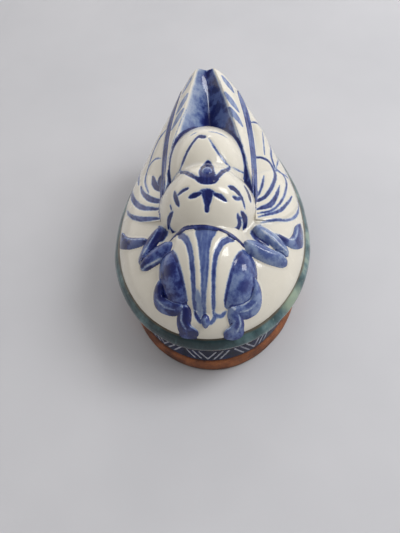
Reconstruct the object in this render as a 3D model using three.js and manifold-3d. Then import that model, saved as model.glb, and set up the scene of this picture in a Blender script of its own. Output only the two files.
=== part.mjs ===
// Ceramic ocarina: a hollow egg-shaped vessel flute with a cicada modelled in relief on its dome.
// Units are millimetres and +Z is up. The egg is drawn around its widest station (y = 0), with the
// cicada's head towards -Y and its tail, with the mouthpiece below it, towards +Y. The finished
// group is moved so that the origin lies under the middle of the whole object.
import * as THREE from 'three';
import { mergeVertices } from 'three/addons/utils/BufferGeometryUtils.js';
import Module from 'manifold-3d';

const wasm = await Module();
wasm.setup();

// ---- Egg-shaped plan ----
const HALF_WIDTH = 37;
const FRONT_LENGTH = 46;
const BACK_LENGTH = 66;
const TAIL_PINCH = 0.12;
const EGG_STEPS = 40;

// ---- Heights of the body's rings, from the table up ----
const FOOT_TOP = 5.8;
const BAND_TOP = 13;
const RIM_WIDEST = 20.2;
const RIM_TOP = 23.8;
const DOME_RISE = 16;
const DOME_POWER = 2.2;
const DOME_ROUNDNESS = 0.6;
const DOME_INSET = 2.3;
const WALL_INSET = 7;
const ROOF_THICKNESS = 4;
const GAP = 0.3;

// ---- Air chamber floor, finger holes and voicing ----
const PLATE_THICKNESS = 3.6;
const PLATE_BOTTOM = FOOT_TOP + GAP / 2;
const PLATE_TOP = PLATE_BOTTOM + PLATE_THICKNESS;
const FINGER_HOLES = [
  { x: -12, y: -14, radius: 5 },
  { x: 12, y: -14, radius: 4.5 },
  { x: -12, y: 14, radius: 4 },
  { x: 12, y: 14, radius: 3.6 },
];
const WINDOW = { halfWidth: 5, near: 50, far: 44.8 };
const LABIUM_LENGTH = 8;
const LABIUM_EDGE = 0.5;

// ---- Mouthpiece ----
const MOUTH_END = 80;
const MOUTH_ROOT = WINDOW.near;
const MOUTH_HALF_WIDTH = { root: 11.5, tip: 7.5 };
const MOUTH_HALF_HEIGHT = { root: 5.4, tip: 3 };
const MOUTH_AXIS = { root: PLATE_BOTTOM + 5.4, tip: 14 };
const WINDWAY = { halfWidth: 4.6, height: 1.8, exit: PLATE_BOTTOM + 2.2, entry: 14 };

// ---- Cicada: rounded body parts as ellipsoids, centre and radii ----
const THORAX = { centre: [-0.8, 1, 29], radii: [19, 15.5, 24.5] };
const ABDOMEN = { centre: [-1.2, 22, 29], radii: [17.2, 20, 23.5] };
const HEAD = { centre: [-0.4, -15, 26], radii: [17, 24, 18] };
const EYES = {
  left: { centre: [-11.6, -25.3, 32.4], radii: [5.3, 10.4, 7], turn: 15, tip: 19 },
  right: { centre: [10, -25.4, 32.4], radii: [6.5, 10.6, 7], turn: -13, tip: 19 },
};
const ROSTRUM = { centre: [-0.8, -39.4, 29.6], radii: [1.8, 2.6, 2.4] };
const SCUTELLUM = { centre: [-0.4, 6.6, 51.4], radii: [2.6, 3.4, 2.6] };
const COLLAR = { halfWidth: 15, height: 44.4, front: -12, sweep: 3.2, drop: 8, radius: 1.3 };

// ---- Wings: the heights and half-widths along the length ----
const SIDES = { left: -1, right: 1 };
const WING_FRONT = 9;
const WING_TIP = 66;
const INNER_EDGE = { left: 19.9, right: 18.7, taper: 0.24, height: 50, sag: 10 };
const VALLEY = { height: 38.8, rise: 0.12, start: 33, bend: 42, lift: 7 };
const RIB = { power: 2.2, root: 15, back: 61, radius: 1.3 };
const RIB_WIDTH = { left: { root: 17.6, close: 7.4 }, right: { root: 16.4, close: 5 } };
const RIB_HEIGHT = { root: 37.6, back: 43.6, middle: 1.4 };
const WING_SKIN = 1.2;
const TAIL_LEAN = 2.4;
const TAIL_SLOPE = 7;
const WING_STATIONS = 12;

// ---- Legs: each is one or two bars, with a middle line in plan and the radii of its two ends ----
const LEGS = {
  left: {
    midleg: [
      { line: [[-14, -15.2], [-18.6, -17.6], [-23.2, -20]], from: 3.5, to: 2.8 },
      { line: [[-17.4, -8.4], [-20.6, -12], [-23.6, -18]], from: 2.7, to: 2.6 },
    ],
    midleg_foot: [{ line: [[-23, -10.4], [-28, -9], [-31.6, -6], [-32.4, -1.8]], from: 2.2, to: 1.5 }],
    foreleg: [{ line: [[-16.4, -26], [-17.2, -30], [-16.4, -33.2], [-8.8, -36.6]], from: 1.9, to: 2.1 }],
    foreleg_foot: [{ line: [[-7.8, -36.8], [-7.9, -40.6], [-6.4, -42.2], [-4.6, -42.6]], from: 2.6, to: 1.3 }],
  },
  right: {
    midleg: [
      { line: [[13.6, -14.8], [20.4, -17], [26.2, -17.2]], from: 3.4, to: 2.8 },
      { line: [[17.2, -8.2], [22.4, -10.4], [26.6, -14]], from: 2.8, to: 2.7 },
    ],
    midleg_foot: [{ line: [[24, -8.4], [29, -8.8], [31.4, -5.4], [32.4, 1]], from: 2.1, to: 1.5 }],
    foreleg: [{ line: [[15.8, -26], [16.4, -30.4], [15.6, -34], [9.2, -37.2]], from: 1.9, to: 2.1 }],
    foreleg_foot: [{ line: [[8.5, -37.2], [9.7, -40.4], [8.8, -42], [7.2, -42.5]], from: 2.6, to: 1.3 }],
  },
};
const LEG_STEPS = 8;
const LEG_SIDES = 9;
const LEG_FLATNESS = 0.7;

// ---- Colours ----
const IVORY = 0xe9e4d6;
const COBALT = 0x4a5c9c;
const DEEP_COBALT = 0x2c3b82;
const GREEN_GLAZE = 0x3f6b66;
const BAND_BLUE = 0x3f4c86;
const TERRACOTTA = 0xa45330;

// ---------------------------------------------------------------- plan and heights

function tailPinch(y) {
  return 1 - TAIL_PINCH * (Math.max(0, y) / BACK_LENGTH) ** 2;
}

// A point of the egg's outline at an angle from the front, scaled by reach and drawn in by inset.
function eggPoint(angle, reach, inset) {
  const along = -Math.cos(angle);
  const length = along < 0 ? FRONT_LENGTH - inset : BACK_LENGTH - inset;
  const y = reach * length * along;
  const x = reach * (HALF_WIDTH - inset) * tailPinch(y) * Math.sin(angle);
  return [x, y];
}

// How far out a plan point lies: 0 on the egg's axis, 1 on the dome's edge.
function eggReach(x, y) {
  const length = y < 0 ? FRONT_LENGTH - DOME_INSET : BACK_LENGTH - DOME_INSET;
  return Math.hypot(x / ((HALF_WIDTH - DOME_INSET) * tailPinch(y)), y / length);
}

function domeRise(reach) {
  return DOME_RISE * Math.max(0, 1 - reach ** DOME_POWER) ** DOME_ROUNDNESS;
}

function domeHeight(x, y) {
  return RIM_TOP + domeRise(Math.min(1, eggReach(x, y)));
}

function mix(a, b, t) {
  return a + (b - a) * t;
}

// ---------------------------------------------------------------- solids

function geometryFrom(points, triangles) {
  const geometry = new THREE.BufferGeometry();
  geometry.setAttribute('position', new THREE.Float32BufferAttribute(points.flat(), 3));
  geometry.setIndex(triangles.flat());
  return geometry;
}

// Turns a closed geometry into a solid, outward facing, with its doubled vertices merged.
function solidFrom(geometry) {
  const bare = new THREE.BufferGeometry();
  bare.setAttribute('position', geometry.getAttribute('position'));
  bare.setIndex(geometry.getIndex());
  const merged = mergeVertices(bare, 1e-4);
  const index = merged.getIndex().array;
  const faces = [];
  for (let i = 0; i < index.length; i += 3) {
    const [a, b, c] = index.slice(i, i + 3);
    if (a !== b && b !== c && c !== a) faces.push(a, b, c);
  }
  return new wasm.Manifold(new wasm.Mesh({
    numProp: 3,
    vertProperties: new Float32Array(merged.getAttribute('position').array),
    triVerts: new Uint32Array(faces),
  }));
}

function signedVolume(points, triangles) {
  let sum = 0;
  for (const [a, b, c] of triangles) {
    const [p, q, r] = [points[a], points[b], points[c]];
    sum += p[0] * (q[1] * r[2] - q[2] * r[1]);
    sum += p[1] * (q[2] * r[0] - q[0] * r[2]);
    sum += p[2] * (q[0] * r[1] - q[1] * r[0]);
  }
  return sum / 6;
}

// Joins closed loops of equal count into one solid, with a fan over each end loop.
function loft(loops) {
  const count = loops[0].length;
  const points = loops.flat();
  const triangles = [];
  for (let row = 0; row + 1 < loops.length; row += 1) {
    for (let i = 0; i < count; i += 1) {
      const a = row * count + i;
      const b = row * count + (i + 1) % count;
      triangles.push([a, b, b + count], [a, b + count, a + count]);
    }
  }
  for (let i = 1; i + 1 < count; i += 1) {
    const last = (loops.length - 1) * count;
    triangles.push([0, i + 1, i], [last, last + i, last + i + 1]);
  }
  if (signedVolume(points, triangles) < 0) triangles.forEach((t) => t.reverse());
  return solidFrom(geometryFrom(points, triangles));
}

// Sweeps a section around the egg. Each corner of the section is { reach, inset, z }. A section
// that touches the axis (reach 0) at both ends is left open there; any other is a closed ring.
function sweepEgg(section) {
  const onAxis = section[0].reach === 0;
  const count = section.length;
  const points = [];
  for (let step = 0; step < EGG_STEPS; step += 1) {
    const angle = (2 * Math.PI * step) / EGG_STEPS;
    for (const { reach, inset, z } of section) points.push([...eggPoint(angle, reach, inset), z]);
  }
  const triangles = [];
  for (let step = 0; step < EGG_STEPS; step += 1) {
    const here = step * count;
    const next = ((step + 1) % EGG_STEPS) * count;
    for (let i = 0; i < (onAxis ? count - 1 : count); i += 1) {
      const j = (i + 1) % count;
      triangles.push([here + i, next + i, next + j], [here + i, next + j, here + j]);
    }
  }
  if (signedVolume(points, triangles) < 0) triangles.forEach((t) => t.reverse());
  return solidFrom(geometryFrom(points, triangles));
}

function ring(...corners) {
  return sweepEgg(corners.map(([inset, z]) => ({ reach: 1, inset, z })));
}

function ellipsoid({ centre, radii, turn = 0, tip = 0 }, grow = 0) {
  const fine = Math.max(...radii) > 12;
  const sphere = fine ? new THREE.SphereGeometry(1, 24, 14) : new THREE.SphereGeometry(1, 16, 10);
  sphere.rotateX(Math.PI / 2);
  sphere.scale(...radii.map((radius) => radius + grow));
  sphere.rotateX(THREE.MathUtils.degToRad(tip));
  sphere.rotateZ(THREE.MathUtils.degToRad(turn));
  sphere.translate(...centre);
  return solidFrom(sphere);
}

function block(low, high) {
  const box = new THREE.BoxGeometry(...high.map((value, axis) => value - low[axis]));
  box.translate(...high.map((value, axis) => (value + low[axis]) / 2));
  return solidFrom(box);
}

function upright(x, y, radius, bottom, top) {
  const cylinder = new THREE.CylinderGeometry(radius, radius, top - bottom, 20);
  cylinder.rotateX(Math.PI / 2);
  cylinder.translate(x, y, (bottom + top) / 2);
  return solidFrom(cylinder);
}

// A round or flattened bar along a smooth line, with a changing radius and domed ends.
function bar(line, { from, to, grow = 0, steps = LEG_STEPS, flatness = 1 }) {
  const curve = new THREE.CatmullRomCurve3(line.map((point) => new THREE.Vector3(...point)));
  const loops = [];
  for (let step = 0; step <= steps; step += 1) {
    const t = step / steps;
    const centre = curve.getPoint(t);
    const tangent = curve.getTangent(t);
    const across = new THREE.Vector3(-tangent.y, tangent.x, 0).normalize();
    const up = new THREE.Vector3().crossVectors(tangent, across);
    const domed = Math.sqrt(Math.max(0.2, 1 - Math.abs(2 * t - 1) ** 8));
    const radius = mix(from, to, t) * domed + grow;
    const loop = [];
    for (let i = 0; i < LEG_SIDES; i += 1) {
      const angle = (2 * Math.PI * i) / LEG_SIDES;
      const point = centre.clone();
      point.addScaledVector(across, radius * Math.cos(angle));
      point.addScaledVector(up, radius * flatness * Math.sin(angle));
      loop.push(point.toArray());
    }
    loops.push(loop);
  }
  return loft(loops);
}

// Cuts a piece by its neighbours and keeps the largest body that is left.
function carve(piece, ...cutters) {
  let result = piece;
  for (const cutter of cutters) result = result.subtract(cutter);
  const bodies = result.decompose();
  bodies.sort((a, b) => b.volume() - a.volume());
  return bodies[0];
}

// ---------------------------------------------------------------- body of the instrument

function footRing() {
  const top = FOOT_TOP - GAP / 2;
  return ring([2.8, 0], [2.4, 1.2], [2.4, 3.4], [3, top], [9, top], [9, 0]);
}

function patternBand() {
  const bottom = FOOT_TOP + GAP / 2;
  const top = BAND_TOP - GAP / 2;
  const wall = ring([3.3, bottom], [3.4, 8], [3.8, top], [WALL_INSET, top], [WALL_INSET, bottom]);
  return carve(wall, mouthpieceBody(GAP));
}

function rimBand() {
  const bottom = BAND_TOP + GAP / 2;
  const top = RIM_TOP - GAP / 2;
  const wall = ring(
    [3.8, bottom], [2.9, 14.8], [1.4, 17], [0.3, 19], [0, RIM_WIDEST], [0.4, 21.6], [1.2, 22.8],
    [DOME_INSET, top],
    [WALL_INSET, top], [WALL_INSET, bottom],
  );
  return carve(wall, mouthpieceBody(GAP));
}

// The dome's outer skin as a section from the axis out to the edge.
function domeSection(inset, lift) {
  const reaches = [0, 0.22, 0.4, 0.56, 0.7, 0.82, 0.91, 0.97, 1];
  return reaches.map((reach) => ({ reach, inset, z: RIM_TOP + lift + domeRise(reach) }));
}

function domeShell() {
  const bottom = RIM_TOP + GAP / 2;
  const outer = domeSection(DOME_INSET, GAP / 2);
  const inner = domeSection(WALL_INSET, -ROOF_THICKNESS).filter(({ z }) => z > bottom + 0.5);
  inner.push({ reach: 1, inset: WALL_INSET, z: bottom });
  return sweepEgg([...outer, ...inner.reverse()]);
}

// The whole volume under the skin of the dome and rim, which the relief pieces are seated on.
function domeCutter() {
  const rim = [[0.9, 23], [0.1, 21.8], [-GAP, RIM_WIDEST], [-GAP, 0]];
  const side = rim.map(([inset, z]) => ({ reach: 1, inset, z }));
  return sweepEgg([...domeSection(DOME_INSET - GAP, 1.5 * GAP), ...side, { reach: 0, inset: 0, z: 0 }]);
}

function mouthpieceBody(grow = 0) {
  const loops = [];
  const stations = 6;
  for (let step = 0; step <= stations; step += 1) {
    const t = step / stations;
    const y = mix(MOUTH_ROOT - grow, MOUTH_END + grow, t);
    const halfWidth = mix(MOUTH_HALF_WIDTH.root, MOUTH_HALF_WIDTH.tip, t) + grow;
    const halfHeight = mix(MOUTH_HALF_HEIGHT.root, MOUTH_HALF_HEIGHT.tip, t) + grow;
    const middle = mix(MOUTH_AXIS.root, MOUTH_AXIS.tip, t);
    const loop = [];
    for (let i = 0; i < 24; i += 1) {
      const angle = (2 * Math.PI * i) / 24;
      const [c, s] = [Math.cos(angle), Math.sin(angle)];
      const x = halfWidth * Math.sign(c) * Math.abs(c) ** 0.55;
      loop.push([x, y, middle + halfHeight * Math.sign(s) * Math.abs(s) ** 0.55]);
    }
    loops.push(loop);
  }
  return loft(loops);
}

function windway() {
  const overrun = 2;
  const length = MOUTH_END - MOUTH_ROOT;
  const slope = (WINDWAY.entry - WINDWAY.exit) / length;
  const loops = [MOUTH_ROOT - overrun, MOUTH_END + overrun].map((y) => {
    const z = WINDWAY.exit + slope * (y - MOUTH_ROOT);
    const [w, h] = [WINDWAY.halfWidth, WINDWAY.height / 2];
    return [[-w, y, z - h], [w, y, z - h], [w, y, z + h], [-w, y, z + h]];
  });
  return loft(loops);
}

function mouthpiece() {
  return carve(mouthpieceBody(), windway());
}

// The egg-shaped floor is a closed section from the axis out to the wall.
function basePlate() {
  const inset = WALL_INSET + GAP;
  const slab = sweepEgg([
    { reach: 0, inset, z: PLATE_TOP },
    { reach: 1, inset, z: PLATE_TOP },
    { reach: 1, inset, z: PLATE_BOTTOM },
    { reach: 0, inset, z: PLATE_BOTTOM },
  ]);
  const holes = FINGER_HOLES.map(({ x, y, radius }) => (
    upright(x, y, radius, PLATE_BOTTOM - 1, PLATE_TOP + 1)
  ));
  const { halfWidth, near, far } = WINDOW;
  const side = halfWidth + GAP;
  const window = block([-side, far - LABIUM_LENGTH - GAP, 0], [side, near, PLATE_TOP + 5]);
  return carve(slab, window, mouthpieceBody(GAP), ...holes);
}

function labium() {
  const { halfWidth, far } = WINDOW;
  const heel = far - LABIUM_LENGTH;
  const edge = WINDWAY.exit;
  const profile = [
    [heel, PLATE_BOTTOM], [far, edge - LABIUM_EDGE / 2], [far, edge + LABIUM_EDGE / 2],
    [far - 3, PLATE_TOP], [heel, PLATE_TOP],
  ];
  return loft([-halfWidth, halfWidth].map((x) => profile.map(([y, z]) => [x, y, z])));
}

// ---------------------------------------------------------------- cicada

function leanAt(y) {
  return -TAIL_LEAN * (Math.max(0, y) / WING_TIP) ** 2;
}

function innerEdge(y, label) {
  const drop = Math.max(0, (WING_TIP - y) / (WING_TIP - WING_FRONT));
  return [INNER_EDGE[label] - INNER_EDGE.taper * y, INNER_EDGE.height - INNER_EDGE.sag * drop ** 2];
}

function valleyHeight(y) {
  const bend = Math.max(0, (y - VALLEY.bend) / (WING_TIP - VALLEY.bend));
  return VALLEY.height + VALLEY.rise * (y - VALLEY.start) + VALLEY.lift * bend ** 1.5;
}

function ribLine(y, label) {
  const t = Math.max(0, (y - RIB.root) / (RIB.back - RIB.root));
  const rise = mix(RIB_HEIGHT.root, RIB_HEIGHT.back, t);
  const width = RIB_WIDTH[label].root - RIB_WIDTH[label].close * t ** RIB.power;
  return [width, rise + RIB_HEIGHT.middle * Math.sin(Math.PI * Math.min(1, t))];
}

// Closes a section of the top surface down to the level of the rim and moves it by the lean.
// Towards the tail the foot of the section lies further forward, so that the end slopes inwards.
function wingLoop(top, side) {
  const seat = (y) => y - TAIL_SLOPE * (Math.max(0, y) / WING_TIP) ** 4;
  const first = top[0];
  const last = top[top.length - 1];
  const loop = [...top, [last[0], seat(last[1]), RIM_TOP], [first[0], seat(first[1]), RIM_TOP]];
  return loop.map(([x, y, z]) => [x * side + leanAt(y), y, z]);
}

// The strip from the valley over the inner edge out to the rib.
function clavus(label, grow = 0) {
  const side = SIDES[label];
  const loops = [];
  for (let step = 0; step <= WING_STATIONS; step += 1) {
    const t = step / WING_STATIONS;
    const y = mix(WING_FRONT, WING_TIP + grow, t);
    const ribY = mix(WING_FRONT, RIB.back + grow, t);
    const [edgeX, edgeZ] = innerEdge(y, label);
    const [ribX, ribZ] = ribLine(ribY, label);
    const top = [
      [GAP / 2 - grow, y - 1, valleyHeight(y) + grow],
      [edgeX, y, edgeZ + grow],
      [mix(edgeX, ribX, 0.5), mix(y, ribY, 0.5), mix(edgeZ, ribZ, 0.5) + 0.7 + grow],
      [ribX - GAP / 2 + grow, ribY, ribZ + grow],
    ];
    loops.push(wingLoop(top, side));
  }
  return loft(loops);
}

// The outer panel, from the rib out to the edge of the dome.
function wingPanel(label) {
  const side = SIDES[label];
  const loops = [];
  const across = 5;
  for (let step = 0; step <= WING_STATIONS; step += 1) {
    const t = step / WING_STATIONS;
    const ribY = mix(-3, RIB.back, t);
    const [ribX, ribZ] = ribLine(ribY, label);
    const outerAngle = Math.PI / 2 + Math.asin(mix(0.18, 0.93, t));
    const [outX, outY] = eggPoint(outerAngle, 0.99, DOME_INSET);
    const outZ = domeHeight(outX, outY) + WING_SKIN;
    const top = [];
    for (let i = 0; i <= across; i += 1) {
      const s = i / across;
      const x = mix(ribX + GAP / 2, outX, s);
      const y = mix(ribY, outY, s);
      const roof = mix(ribZ, outZ, s) + 2 * t * Math.sin(Math.PI * s);
      top.push([x, y, Math.max(roof, domeHeight(x, y) + WING_SKIN)]);
    }
    loops.push(wingLoop(top, side));
  }
  return loft(loops);
}

function rib(label, grow = 0) {
  const line = [];
  for (let step = 0; step <= 8; step += 1) {
    const y = mix(3, RIB.back - 1, step / 8);
    const [x, z] = ribLine(y, label);
    line.push([x * SIDES[label] + leanAt(y), y, Math.max(z, domeHeight(x, y)) + 0.5]);
  }
  return bar(line, { from: RIB.radius, to: RIB.radius, grow, steps: 12 });
}

function collarBar(grow = 0) {
  const line = [];
  for (let step = 0; step <= 6; step += 1) {
    const s = step / 3 - 1;
    const z = COLLAR.height - COLLAR.drop * s * s;
    line.push([COLLAR.halfWidth * s, COLLAR.front - COLLAR.sweep * s * s, z]);
  }
  return bar(line, { from: COLLAR.radius, to: COLLAR.radius, grow, steps: 12 });
}

function leg(name, label, grow = 0) {
  const bars = LEGS[label][name].map(({ line, from, to }) => {
    const seated = line.map(([x, y]) => [x, y, domeHeight(x, y) + 0.6]);
    return bar(seated, { from, to, grow, flatness: LEG_FLATNESS });
  });
  return bars.reduce((whole, next) => whole.add(next));
}

// ---------------------------------------------------------------- assembly

const body = new THREE.Group();

function add(name, solid, color, roughness) {
  const mesh = solid.getMesh();
  const geometry = new THREE.BufferGeometry();
  geometry.setAttribute('position', new THREE.BufferAttribute(mesh.vertProperties, 3));
  geometry.setIndex(new THREE.BufferAttribute(mesh.triVerts, 1));
  const material = new THREE.MeshStandardMaterial({ color, roughness, metalness: 0 });
  const part = new THREE.Mesh(geometry, material);
  part.name = name;
  body.add(part);
}

const GLAZE = 0.18;
const BARE_CLAY = 0.85;

add('foot_ring', footRing(), TERRACOTTA, BARE_CLAY);
add('base_plate', basePlate(), TERRACOTTA, BARE_CLAY);
add('labium', labium(), TERRACOTTA, BARE_CLAY);
add('pattern_band', patternBand(), BAND_BLUE, GLAZE);
add('rim_band', rimBand(), GREEN_GLAZE, GLAZE);
add('dome_shell', domeShell(), IVORY, GLAZE);
add('mouthpiece', mouthpiece(), TERRACOTTA, BARE_CLAY);

const dome = domeCutter();
const thoraxCutter = ellipsoid(THORAX, GAP);
const abdomenCutter = ellipsoid(ABDOMEN, GAP);
const headCutter = ellipsoid(HEAD, GAP);
const collarCutter = collarBar(GAP);
const bossCutter = ellipsoid(SCUTELLUM, GAP);
const rostrumCutter = ellipsoid(ROSTRUM, GAP);

add('scutellum', carve(ellipsoid(SCUTELLUM), block([-8, 0, 0], [8, 30, SCUTELLUM.centre[2]])), DEEP_COBALT, GLAZE);
add('collar', carve(collarBar(), dome), DEEP_COBALT, GLAZE);
add('thorax', carve(ellipsoid(THORAX), dome, bossCutter, collarCutter), IVORY, GLAZE);
add('abdomen', carve(ellipsoid(ABDOMEN), dome, thoraxCutter, bossCutter), IVORY, GLAZE);
add('rostrum', carve(ellipsoid(ROSTRUM), dome), COBALT, GLAZE);

const eyeCutters = Object.values(EYES).map((eye) => ellipsoid(eye, GAP));
const headParts = [dome, thoraxCutter, collarCutter, rostrumCutter];
add('head', carve(ellipsoid(HEAD), ...headParts, ...eyeCutters), IVORY, GLAZE);

for (const label of ['left', 'right']) {
  const eye = ellipsoid(EYES[label], GAP);
  const trunk = [dome, thoraxCutter, abdomenCutter];
  const ribCutter = rib(label, GAP);
  const clavusCutter = clavus(label, GAP);
  const foreCutter = leg('foreleg', label, GAP);
  const midCutter = leg('midleg', label, GAP);
  const footCutter = leg('midleg_foot', label, GAP);
  add(`eye_${label}`, carve(ellipsoid(EYES[label]), dome), COBALT, GLAZE);
  add(`foreleg_${label}`, carve(leg('foreleg', label), dome, eye, headCutter), COBALT, GLAZE);
  const forefoot = carve(leg('foreleg_foot', label), dome, foreCutter, rostrumCutter, eye);
  add(`foreleg_foot_${label}`, forefoot, COBALT, GLAZE);
  const midleg = carve(leg('midleg', label), ...trunk, eye, headCutter, collarCutter);
  add(`midleg_${label}`, midleg, COBALT, GLAZE);
  add(`midleg_foot_${label}`, carve(leg('midleg_foot', label), dome, midCutter), COBALT, GLAZE);
  add(`rib_${label}`, carve(rib(label), ...trunk, midCutter), DEEP_COBALT, GLAZE);
  add(`clavus_${label}`, carve(clavus(label), ...trunk, ribCutter), DEEP_COBALT, GLAZE);
  const panel = carve(wingPanel(label), ...trunk, ribCutter, clavusCutter, midCutter, footCutter);
  add(`wing_${label}`, panel, IVORY, GLAZE);
}

body.position.y = -(MOUTH_END - FRONT_LENGTH) / 2;

export default body;
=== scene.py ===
"""A hand-painted ceramic ocarina with a cicada in relief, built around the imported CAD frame.

Shapes are worked out in millimetres in the egg frame: y = 0 is the egg's widest station, the
cicada's head points to -Y and its tail to +Y. to_row() moves them into the row frame, in metres.
Every raised form is a height over the plan, and one smooth skin runs over all of them, so the
separate pieces meet in soft glazed joints.
"""
import math

import bmesh
import bpy
import numpy as np
from mathutils import Matrix, Vector


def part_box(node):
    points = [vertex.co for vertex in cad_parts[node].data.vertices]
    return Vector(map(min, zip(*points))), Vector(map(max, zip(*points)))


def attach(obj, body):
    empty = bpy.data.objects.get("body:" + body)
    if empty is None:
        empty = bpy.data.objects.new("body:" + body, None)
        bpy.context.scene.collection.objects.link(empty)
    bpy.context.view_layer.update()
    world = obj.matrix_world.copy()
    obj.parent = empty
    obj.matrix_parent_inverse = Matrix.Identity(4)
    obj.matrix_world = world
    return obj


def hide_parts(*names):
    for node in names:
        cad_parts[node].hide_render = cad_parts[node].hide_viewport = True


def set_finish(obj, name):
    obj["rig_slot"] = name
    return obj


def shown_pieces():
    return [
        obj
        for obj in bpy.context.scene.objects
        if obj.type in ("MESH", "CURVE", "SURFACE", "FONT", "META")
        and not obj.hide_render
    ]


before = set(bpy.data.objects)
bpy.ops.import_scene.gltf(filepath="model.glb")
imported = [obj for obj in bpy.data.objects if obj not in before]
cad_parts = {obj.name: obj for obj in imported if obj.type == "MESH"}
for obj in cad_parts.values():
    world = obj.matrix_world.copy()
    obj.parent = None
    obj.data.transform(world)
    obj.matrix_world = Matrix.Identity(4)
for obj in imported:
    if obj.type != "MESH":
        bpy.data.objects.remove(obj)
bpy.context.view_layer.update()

MM = 1000.0


def node_box(name):
    """The lowest and highest corner of a CAD piece, in mm."""
    return [np.array(corner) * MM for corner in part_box(name)]


rim_low, rim_high = node_box("rim_band")
foot_top = node_box("foot_ring")[1][2]
band_low, band_high = node_box("pattern_band")
plate_low, plate_high = node_box("base_plate")
mouth_end = node_box("mouthpiece")[1][1]

# ---- Egg-shaped plan ----
HALF_WIDTH = rim_high[0]
FRONT = 46.0
BACK = rim_high[1] - rim_low[1] - FRONT
STATION = rim_low[1] + FRONT
TAIL_PINCH = 0.12

# ---- Heights and wall ----
RIM_TOP = rim_high[2] + 0.15
RIM_BOTTOM = rim_low[2] - 0.15
DOME_RISE = 16.0
DOME_POWER = 2.2
DOME_ROUNDNESS = 0.6
DOME_INSET = 2.3
WALL_INSET = 7.0
SIDE_WAIST = 1.4
ROOF_THICKNESS = 4.0

# ---- Relief skin ----
BLEND = 0.4
SEAT_DEPTH = 1.5
SINK_WIDTH = 1.5
ABDOMEN_BLEND = 0.8
NOWHERE = -60.0
RIDGE_SINK = 1.5

# ---- Wings ----
WING_TIP = 66.0
TAIL_LEAN = 2.4
TAIL_SLOPE = 7.0
RIB_BACK = 61.0
WING_STEP = 1.0
WING_OUTLINE = [(33.6, 12), (31.6, 22), (28, 33.5), (22.3, 46.5), (16, 56), (10.8, 61.5)]
WING_FRONT_EDGE = [(17, -5), (25, -2), (30.5, 4.5), (33.6, 12)]
VALLEY_FLOOR = 38.8
VALLEY_SLOPE = 0.12
VALLEY_LIFT = 7.0
CREST_TOP = 50.0
CREST_DROP = 10.0
# By side: half-width of the crest at the widest station, of the thick vein at its root, how far
# the vein closes in towards the tail, how far the outer panel swells, and the vein's colour.
WING_SIDES = {
    -1: {"crest": 19.9, "root": 17.6, "close": 7.4, "swell": 3.4, "load": 0.86},
    1: {"crest": 18.7, "root": 16.4, "close": 5.0, "swell": 5.6, "load": 0.74},
}

# ---- Camera, as angles round the object ----
CAMERA = {"azimuth": 6.73, "elevation": 54.46, "roll": -5.85, "distance": 256.2}
CAMERA_TARGET = (-4.04, -12.13, 22.0)
FIELD_OF_VIEW = 42.0


# ---- plan and heights ----

def mix(a, b, t):
    return a + (b - a) * t


def unit(value):
    return np.clip(value, 0, 1)


def full_turn(count):
    return np.linspace(0, 2 * np.pi, count, endpoint=False)


def spread(values, count):
    """A few values laid out evenly over count places."""
    return np.interp(np.linspace(0, 1, count), np.linspace(0, 1, len(values)), values)


def to_row(points):
    """Egg frame, mm, to row frame, m."""
    return (np.asarray(points, float) + (0.0, STATION, 0.0)) / MM


def tail_pinch(y):
    return 1.0 - TAIL_PINCH * (np.maximum(0.0, y) / BACK) ** 2


def egg_point(angle, reach, inset):
    along = -np.cos(angle)
    length = np.where(along < 0, FRONT - inset, BACK - inset)
    y = reach * length * along
    return reach * (HALF_WIDTH - inset) * tail_pinch(y) * np.sin(angle), y


def egg_reach(x, y):
    length = np.where(y < 0, FRONT - DOME_INSET, BACK - DOME_INSET)
    return np.hypot(x / ((HALF_WIDTH - DOME_INSET) * tail_pinch(y)), y / length)


def dome_rise(reach):
    return DOME_RISE * np.maximum(0.0, 1.0 - reach ** DOME_POWER) ** DOME_ROUNDNESS


def dome(x, y):
    reach = egg_reach(x, y)
    outside = np.maximum(0.0, reach - 1.0)
    return RIM_TOP + dome_rise(np.minimum(reach, 1.0)) - 40.0 * outside


def ripple(x, y, z):
    """The slight unevenness of hand-finished clay, in mm."""
    a = np.sin(x / 3.1 + 1.3 * np.sin(y / 5.3)) * np.sin(y / 4.3 + z / 6.1)
    b = np.sin((x + y) / 7.7 + 0.6) * np.sin((x - 2 * y) / 12.1 + z / 4.7)
    return 0.05 * a + 0.09 * b


def smooth_line(points, steps=8):
    """A Catmull-Rom curve through a few points, sampled."""
    p = np.array(points, float)
    p = np.vstack([2 * p[0] - p[1], p, 2 * p[-1] - p[-2]])
    t = np.linspace(0, 1, steps, endpoint=False)[:, None]
    runs = []
    for a, b, c, d in zip(p, p[1:], p[2:], p[3:]):
        bend = (2 * a - 5 * b + 4 * c - d) * t ** 2 + (3 * b - a - 3 * c + d) * t ** 3
        runs.append(0.5 * (2 * b + (c - a) * t + bend))
    return np.vstack(runs + [p[-2:-1]])


def mound(centre, radii, turn, slope):
    """Height of an ellipsoid's upper half, turned in plan and tipped up towards the tail."""
    c, s = math.cos(math.radians(turn)), math.sin(math.radians(turn))

    def height(x, y):
        dx, dy = x - centre[0], y - centre[1]
        u, v = (c * dx - s * dy) / radii[0], (s * dx + c * dy) / radii[1]
        level = 1.0 - u * u - v * v
        top = centre[2] + slope * dy + radii[2] * np.sqrt(np.maximum(level, 0))
        return np.where(level > 0, top, NOWHERE)

    return height


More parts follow.
